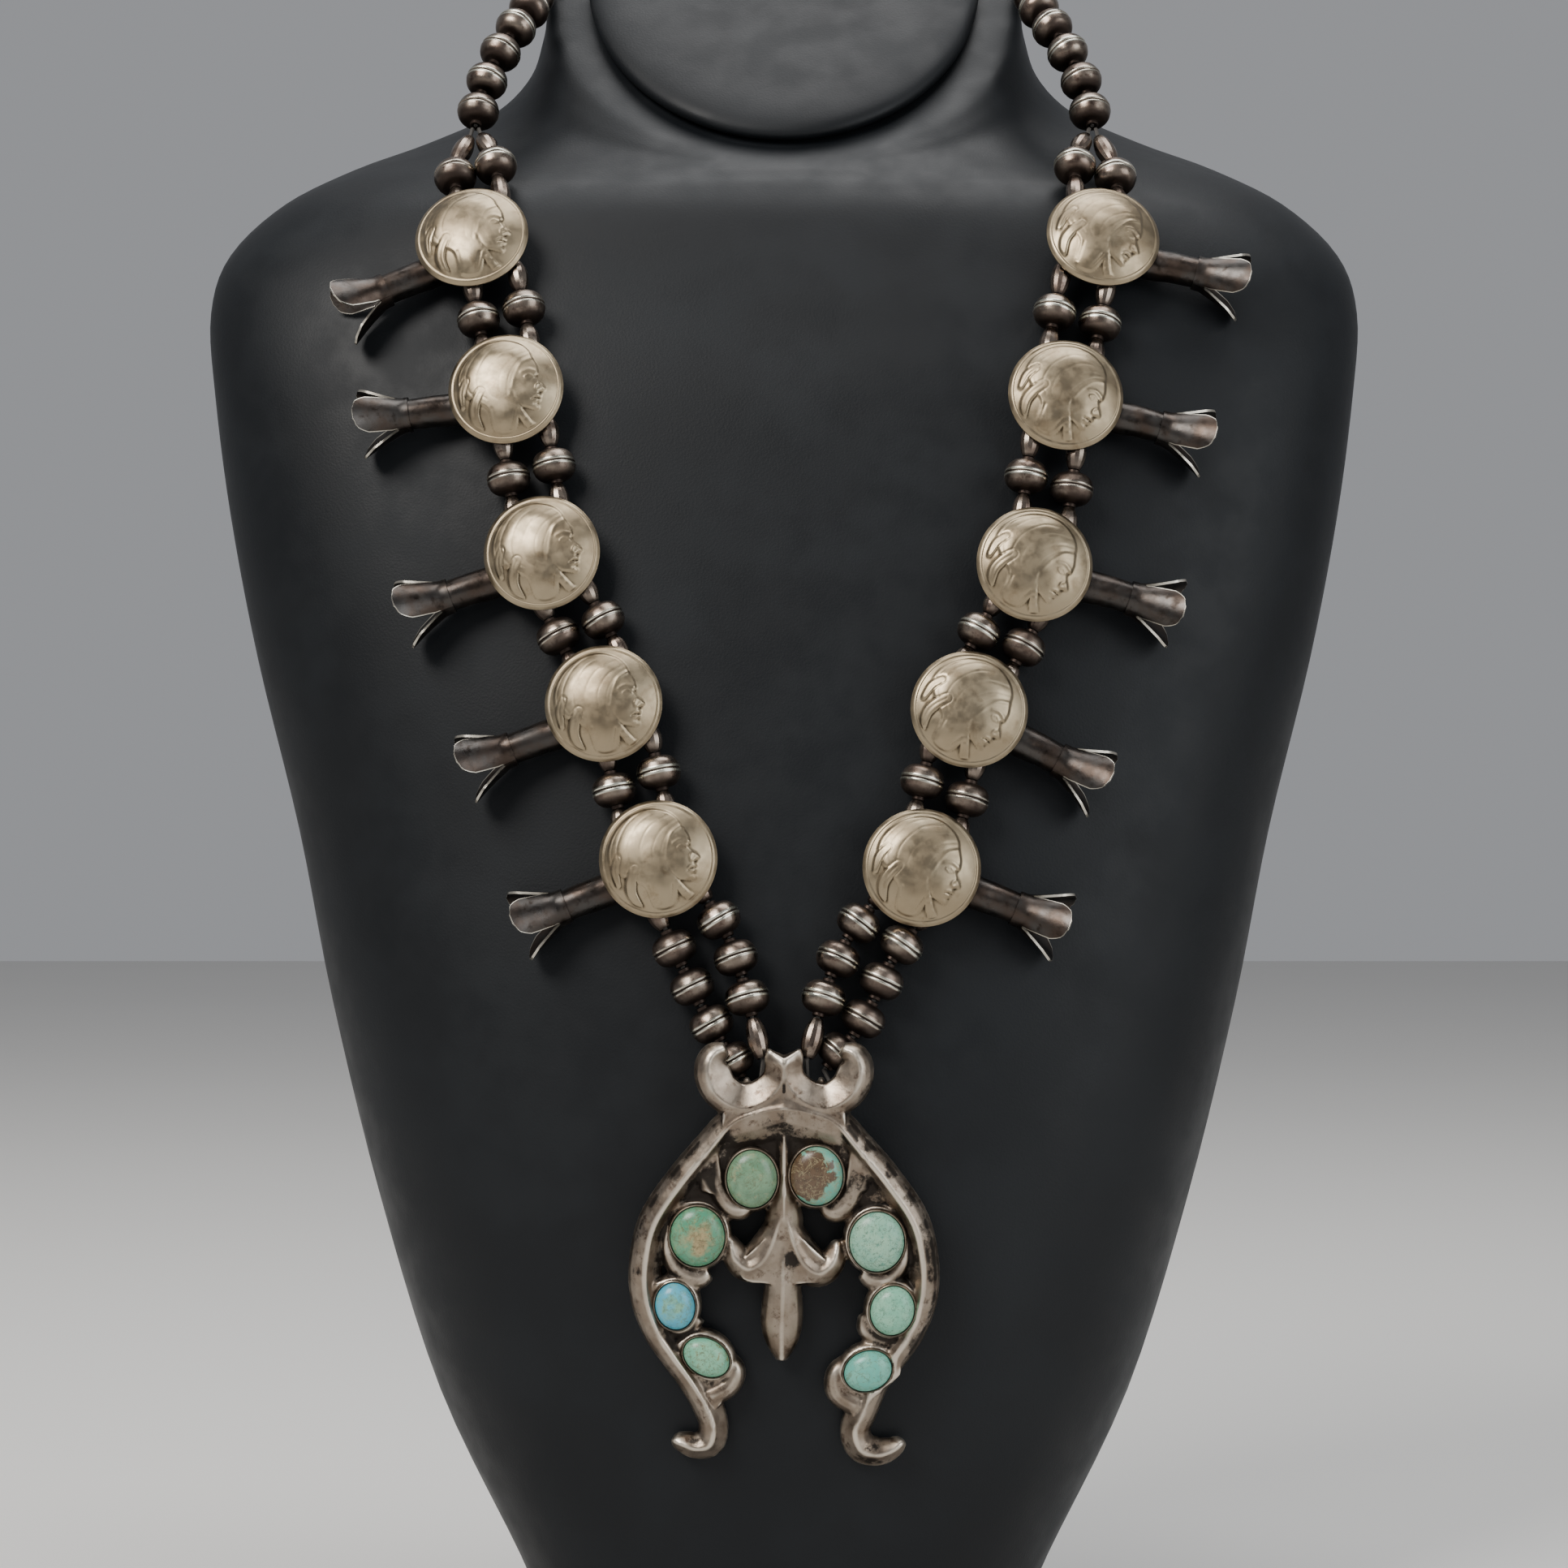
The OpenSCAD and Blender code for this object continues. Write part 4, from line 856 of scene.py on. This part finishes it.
# lines cut into the hair
hair = [
    [[4.4, 6], [1.5, 4.4], [-0.4, 1.6], [-0.6, -1.6], [0.2, -2.6]],
    [[3.4, 7.1], [-0.4, 5.4], [-2.6, 2], [-2.6, -1.6], [-1.2, -3]],
    [[1.6, 8.2], [-2.4, 6.3], [-4.7, 2.4], [-4.6, -1.2], [-3, -2.8]],
    [[-1, 8.6], [-4.3, 6.6], [-6.6, 2.8], [-6.4, -0.6], [-4.8, -2.4]],
    [[-3.6, 8], [-6.2, 5.6], [-7.8, 2.4], [-7.8, -0.2]],
    [[4.9, 5.4], [2.7, 3.9], [1.2, 1.4], [0.7, -1.2], [0.6, -2.4]]]


def fineLine(path, per=6):
    p = np.array(path, float)
    return np.array([curve(p, k / per) for k in range((len(p) - 1) * per + 1)])


def lineDistance(xy, path):
    # distance to a path, and how far along it the nearest point lies
    best, spot, run = np.full(len(xy), 1e9), np.zeros(len(xy)), 0
    for a, b in zip(path[:-1], path[1:]):
        d = b - a
        size = np.linalg.norm(d)
        t = np.clip(((xy - a) @ d) / size ** 2, 0, 1)
        gap = np.linalg.norm(xy - a - t[:, None] * d, axis=1)
        spot = np.where(gap < best, run + t * size, spot)
        best = np.minimum(best, gap)
        run += size
    return best, spot, run


def insideOf(xy, path):
    inside = np.zeros(len(xy), bool)
    x, y = xy[:, 0], xy[:, 1]
    for (ax, ay), (bx, by) in zip(path, np.roll(path, -1, 0)):
        inside ^= ((ay > y) != (by > y)) & (x < (bx - ax) * (y - ay) / (by - ay + 1e-12) + ax)
    return inside


def headRelief(xy):
    ring = fineLine(headOutline + headOutline[:1], 4)
    gap = lineDistance(xy, ring)[0]
    signed = np.where(insideOf(xy, ring[:-1]), gap, -gap)
    body = coinLook["raise"] * step(signed, -0.1, 0.45) + coinLook["puff"] * step(signed, 0.2, 3.2)
    for path, width, high in strokes:
        d = lineDistance(xy, fineLine(path))[0]
        body += high * np.exp(-(d / width) ** 2) * step(signed, -0.2, 0.3)
    for path in hair:
        d = lineDistance(xy, fineLine(path))[0]
        body -= coinLook["hair"] * np.exp(-(d / 0.2) ** 2) * step(signed, -0.1, 0.4)
    for path, width, high in feathers:
        d, spot, run = lineDistance(xy, fineLine(path))
        half = width * (0.55 + 0.45 * np.sin(np.pi * np.clip(0.25 + spot / run * 0.65, 0, 1)))
        vane = high * step(half - d, -0.1, 0.35) - 0.05 * np.exp(-(d / 0.12) ** 2) * step(half - d, 0, 0.2)
        body = np.maximum(body, vane) - 0.09 * np.exp(-((d - half) / 0.14) ** 2) * step(signed, 0, 0.2)
    d, spot, run = lineDistance(xy, fineLine(braid))
    plait = 0.3 * step(0.75 - d, -0.1, 0.4) * (0.8 + 0.2 * np.abs(np.sin(spot * 2.6)))
    return np.maximum(body, plait)


def coinModel(turn):
    # rings of the face and the rim, then of the edge and the underside
    worn, field = coinLook["worn"], coinLook["field"]
    rim = [9.42, 9.52, 9.64, 9.8, 9.96, 10.1, 10.22, 10.3, 10.34]
    radii = [*(np.linspace(0, 1, coinLook["rings"]) ** 0.85 * field), *rim]
    top = len(radii)
    under = [(coinEdge, -0.15), (10.3, -0.35), (10.1, -0.4), (9.6, 0)] + [(r, None) for r in (8, 6, 3, 0)]
    total = top + len(under) - 1

    def place(u, v):
        k = np.rint(u * total).astype(int)
        a = v * 2 * np.pi
        r = np.array(radii + [p[0] for p in under])[k]
        xy = np.stack([r * np.cos(a), r * np.sin(a)], 1)
        z = domeMiddle + np.sqrt(domeRadius ** 2 - np.minimum(r, coinEdge) ** 2)
        c, s = cos(radians(-turn)), sin(radians(-turn))
        head = headRelief(xy @ np.array([[c, s], [-s, c]]))
        fade = worn + (1 - worn) * step(r, coinLook["wornTo"], coinLook["clearFrom"])
        z = z + head * fade * step(field - 0.05 - r, 0, 0.3)
        z = z + coinLook["lip"] * step(r, 9.4, 9.62) * step(10.36 - r, 0, 0.5)
        for j, (_, drop) in enumerate(under):
            here = k == top + j
            if drop is None:
                z = np.where(here, domeMiddle + np.sqrt((domeRadius - coinSize["thick"]) ** 2 - r ** 2), z)
            else:
                z = np.where(here, coinSize["lift"] + drop, z)
        return np.stack([xy[:, 0], xy[:, 1], z], 1)

    obj = sheet("coin", total, coinLook["around"], place)
    closeUp(obj, False)
    return obj


def cupModel(shift):
    # the cup ends inside the coin's shell, also where it stands off its middle
    r = coinSize["cup"] / 2
    walls = [(r, z) for z in (-1.9, -0.5, 0.8, 2, 3, 4)]
    foot = [(0, -2.6), (r - 0.8, -2.6), (r - 0.25, -2.42)]
    obj = lathe("cup", foot + walls + [(r - 1, 4.6), (r / 2, 4.6), (0, 4.6)], coinLook["cupSides"])
    co = points(obj) / mm + [shift, 0, 0]
    shell = domeMiddle + np.sqrt((domeRadius - 0.7) ** 2 - np.minimum(np.hypot(co[:, 0], co[:, 1]), 10) ** 2)
    co[:, 2] = np.minimum(co[:, 2], shell)
    setPoints(obj, co * mm)
    smooth(obj, 40)
    return obj


stemLook = {"len": 19.4, "petal": 8, "r": 2.7, "wall": 0.42, "dip": 0.95, "sides": 48, "cols": 20,
            "rows": 22}
# the flare of the petals and the half width of the slits between them, each with its share of the length
flare = np.array([
    [0, -0.2], [0.02, 0], [0.45, 0.15], [1.25, 0.4], [2.2, 0.66], [3.1, 0.88], [3.6, 1], [4, 1.1]])
slit = np.array([
    [0.15, 0.07], [0.35, 0.22], [0.7, 0.32], [1.25, 0.5], [2, 0.72], [2.85, 0.84], [3.7, 0.94],
    [4.6, 0.972], [5.8, 1.06]])


def petalModel(turn):
    # one petal: a strip of the flare between two slits, bent over its own thickness
    levels = np.linspace(0.06, 1, 400)
    radius = stemLook["r"] + np.interp(levels, flare[:, 1], flare[:, 0])
    half = np.pi / 3 - np.arcsin(np.minimum(np.interp(levels, slit[:, 1], slit[:, 0]) / radius, 1))
    end = levels[np.argmax(half <= 0)] - 0.002 if (half <= 0).any() else 1

    def place(u, v):
        s = -0.2 + (end + 0.2) * (1 - (1 - u) ** 1.6)
        r = stemLook["r"] + np.interp(s, flare[:, 1], flare[:, 0])
        w = np.interp(s, slit[:, 1], slit[:, 0], left=0)
        a = (v * 2 - 1) * np.maximum(np.pi / 3 - np.arcsin(np.minimum(w / r, 1)), 0) + radians(turn)
        return np.stack([r * np.cos(a), r * np.sin(a), stemLook["len"] + stemLook["petal"] * s], 1)

    obj = sheet("petal", stemLook["rows"], stemLook["cols"], place)
    closeUp(obj, False)
    openEdit(obj, "DESELECT")
    bpy.ops.mesh.select_non_manifold()
    bpy.ops.object.mode_set(mode="OBJECT")
    # the open rim of each petal gets the bright edge colour: rubbed silver, and partly a painted highlight
    rim = np.array([v.select for v in obj.data.vertices])
    addFloat(obj, "wear", rim & (points(obj)[:, 2] > (stemLook["len"] + 0.8) * mm))
    applied(obj, "SOLIDIFY", thickness=stemLook["wall"] * mm, offset=-1)
    return obj


def stemModel(low):
    r, top = stemLook["r"], stemLook["len"] - 0.2 * stemLook["petal"]
    ring = [(0, low), (r + 0.42, low), (r + 0.4, low + 1.5), (r + 0.25, low + 4), (r + 0.2, low + 6),
            (r + 0.1, low + 8), (r, top + 0.02), (r - 0.1, top + 0.02), (r - stemLook["wall"], top - 1),
            (0, top - 1)]
    obj = lathe("stem", ring, stemLook["sides"])
    # the stem dips where it passes under the edge of the coin
    co = points(obj) / mm
    co[:, 0] -= stemLook["dip"] * step(15 - co[:, 2], 0, 4.6)
    setPoints(obj, co * mm)
    addFloat(obj, "wear", 0)
    return obj


def stemFrame(side, i):
    m, n = seatFrame(side, i), frontNormal(*seats[side][i][:2])
    a = radians(seats[side][i][2])
    d = vec(side * cos(a), 0, -sin(a))
    flat = unit(d - np.dot(d, n) * n)
    low = np.cross(flat, n) * side
    out = np.eye(4)
    out[:3, 0], out[:3, 1], out[:3, 2] = n, np.cross(flat, n), flat
    out[:3, 3] = m[:3, 3] + low * seats[side][i][3]
    return out


def blossom(side, i, name):
    m, s = seatFrame(side, i), seats[side][i]
    upright = degrees(atan2(-m[2][0], m[2][1]))
    coin = coinModel(upright + s[5])
    markWear(coin, coinLook["wearRounds"], coinLook["wearScale"])
    smooth(coin, 50)
    coin.data.materials.append(coinSilver)
    coin.data.transform(blenderMatrix(m))
    cup = cupModel(-side * s[6])
    addFloat(cup, "wear", 0)
    cup.data.transform(blenderMatrix(m))
    stem = [stemModel(coinSize["cup"] / 2 + 0.3 - s[6])] + [petalModel(s[4] + 120 * k) for k in range(3)]
    stem = joined(stem, "stem")
    smooth(stem)
    stem.data.transform(blenderMatrix(stemFrame(side, i)))
    for part in (cup, stem):
        part.data.materials.append(stemSilver)
    return joined([coin, cup, stem], name)


for side, word in ((-1, "left"), (1, "right")):
    for i in range(5):
        piece = blossom(side, i, f"{word}Blossom{i + 1}")
        finished(piece, None, f"{word}_blossom_{i + 1}")
print("blossoms")

# beads

# the under values paint shade on the beads' undersides: where it starts, where it is full and how dark; the
# edge colour is rubbed silver and partly a painted highlight
beadSilver = silver("beadSilver", (0.25, 0.208, 0.17), (0.165, 0.122, 0.098), (0.075, 0.05, 0.041),
                    (0.042, 0.031, 0.026), 0.26, (-0.5, -0.12), 3.4, 0.02, (0.42, 0.8, 0.92),
                    (0.55, 0.54, 0.46))
beadLook = {"radius": 3.9, "half": 2.75, "shoulder": 2.3, "steps": 40, "shade": (-0.28, 0.1), "bore": 0.7,
            "oliveSides": 14, "oliveEnd": 1, "oliveBig": 1.85, "oliveWear": 0.1}


def roundBead():
    # two domes that meet in a ridge with a groove along it, and a short dark collar at each end
    r, wide, high = beadLook["shoulder"], beadLook["radius"], beadLook["half"]
    turns = np.linspace(pi / 2, 0.2, 9)
    arc = [(wide - 0.12 - r + r * cos(a), high - r + r * sin(a)) for a in turns]
    bore, end = beadLook["bore"], beadLen / 2
    collar = [(bore, end), (1, end), (1.12, end - 0.12), (1.12, high + 0.1)]
    ridge = [(wide - 0.02, 0.52), (wide, 0.36), (wide - 0.05, 0.2), (wide - 0.26, 0.06)]
    upper = [(bore, 2)] + collar + arc + ridge
    obj = lathe("roundBead", upper + [(a, -b) for a, b in upper[::-1]] + upper[:1], beadLook["steps"])
    co = np.abs(points(obj)) / mm
    out = np.hypot(co[:, 0], co[:, 1])
    # the ridge is painted bright, as rubbed silver and partly as a painted highlight; its groove is darker,
    # and the domes darken towards the collars, as tarnish and partly as painted shade between the beads
    rubbedAndHighlit = np.where(co[:, 2] > 0.08, 0.75, -0.45)
    addFloat(obj, "wear", np.where(co[:, 2] > 0.56, -0.82 + 0.29 * (out - 1.1), rubbedAndHighlit))
    smooth(obj, 40)
    return obj


def oliveBead(length):
    end, big = beadLook["oliveEnd"], beadLook["oliveBig"]
    bulge = ((length / 2) ** 2 + (big - end) ** 2) / (2 * (big - end))
    z = np.linspace(-length / 2, length / 2, 13)
    side = [(big - bulge + sqrt(bulge ** 2 - h * h), h) for h in z]
    bore = [(beadLook["bore"], h) for h in (length / 2 - 0.1, 0, -length / 2 + 0.1)]
    obj = lathe("oliveBead", bore[-1:] + side + bore, beadLook["oliveSides"])
    addFloat(obj, "wear", beadLook["oliveWear"])
    smooth(obj, 20)
    return obj


beadModel = roundBead()


def stringOf(items, name, node):
    parts = []
    for k, (length, isBead, a, b) in enumerate(items):
        m = frameAt((a + b) / 2, b - a, vec(0.31, -0.62, 0.72))
        place = blenderMatrix(m) @ Matrix.Rotation(random.uniform(0, 6.28), 4, "Z")
        if isBead:
            part = copyAt(beadModel, f"{name}{k}", place)
        else:
            part = oliveBead(length)
            part.data.transform(place)
        worn = np.zeros(len(part.data.vertices), np.float32)
        part.data.attributes["wear"].data.foreach_get("value", worn)
        addFloat(part, "wear", worn + random.uniform(*beadLook["shade"]))
        parts.append(part)
    obj = joined(parts, name)
    # painted shade: how far each point faces downwards, which darkens the beads' undersides
    addFloat(obj, "under", np.clip(0.5 - 0.5 * normalsOf(obj)[:, 2], 0, 1))
    return finished(obj, beadSilver, node)


for side, word in ((-1, "left"), (1, "right")):
    stringOf(strandItems(side, True), f"{word}OuterBeads", f"{word}_outer_beads")
    stringOf(strandItems(side, False), f"{word}InnerBeads", f"{word}_inner_beads")
    stringOf(neckItems(side), f"{word}NeckBeads", f"{word}_neck_beads")
bpy.data.objects.remove(beadModel)
print("beads")

# threads and clasp, which stay as they are

threadMaterial = plainMaterial("thread", (0.05, 0.045, 0.04), 0.8)
claspMaterial = plainMaterial("clasp", (0.5, 0.46, 0.4), 0.35, 1)
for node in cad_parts:
    if node.endswith("thread") or node == "clasp":
        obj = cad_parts[node]
        obj.data.materials.clear()
        obj.data.materials.append(claspMaterial if node == "clasp" else threadMaterial)

# studio

studio = {"floor": (0.66, 0.65, 0.63), "world": 0.33, "key": 25, "fill": 8.5, "top": 12,
          "lens": 95.67, "camera": (0, -0.776, 0.1605)}
bpy.ops.mesh.primitive_plane_add(size=6)
floor = named("floor")
floorNodes = Nodes("floor")
floorTone = floorNodes.mix(floorNodes.noise(300, 2), studio["floor"], [c * 0.97 for c in studio["floor"]])
floor.data.materials.append(floorNodes.finish(floorTone, 0.7))

world = bpy.data.worlds.new("world")
bpy.context.scene.world = world
world.use_nodes = True
sky = world.node_tree.nodes["Background"]
sky.inputs["Color"].default_value = (0.93, 0.95, 1, 1)
sky.inputs["Strength"].default_value = studio["world"]


def lamp(name, place, aim, size, power, color=(1, 1, 1)):
    light = bpy.data.lights.new(name, "AREA")
    light.shape = "RECTANGLE"
    light.size, light.size_y = size
    light.energy = power
    light.color = color
    obj = bpy.data.objects.new(name, light)
    bpy.context.collection.objects.link(obj)
    obj.location = place
    obj.rotation_euler = (Vector(aim) - Vector(place)).to_track_quat("-Z", "Y").to_euler()


lamp("key", (-0.7, -0.9, 1.1), (0, 0, 0.18), (0.7, 0.7), studio["key"], (1, 0.97, 0.93))
lamp("fill", (1, -0.8, 0.5), (0, 0, 0.18), (0.8, 0.9), studio["fill"], (0.95, 0.98, 1))
lamp("top", (0.1, 0.1, 1.3), (0, 0, 0.15), (0.9, 0.7), studio["top"])

cameraData = bpy.data.cameras.new("camera")
cameraData.lens = studio["lens"]
cameraData.sensor_width = 36
camera = bpy.data.objects.new("camera", cameraData)
camera.location = studio["camera"]
camera.rotation_euler = (radians(90), 0, 0)
bpy.context.collection.objects.link(camera)
bpy.context.scene.camera = camera
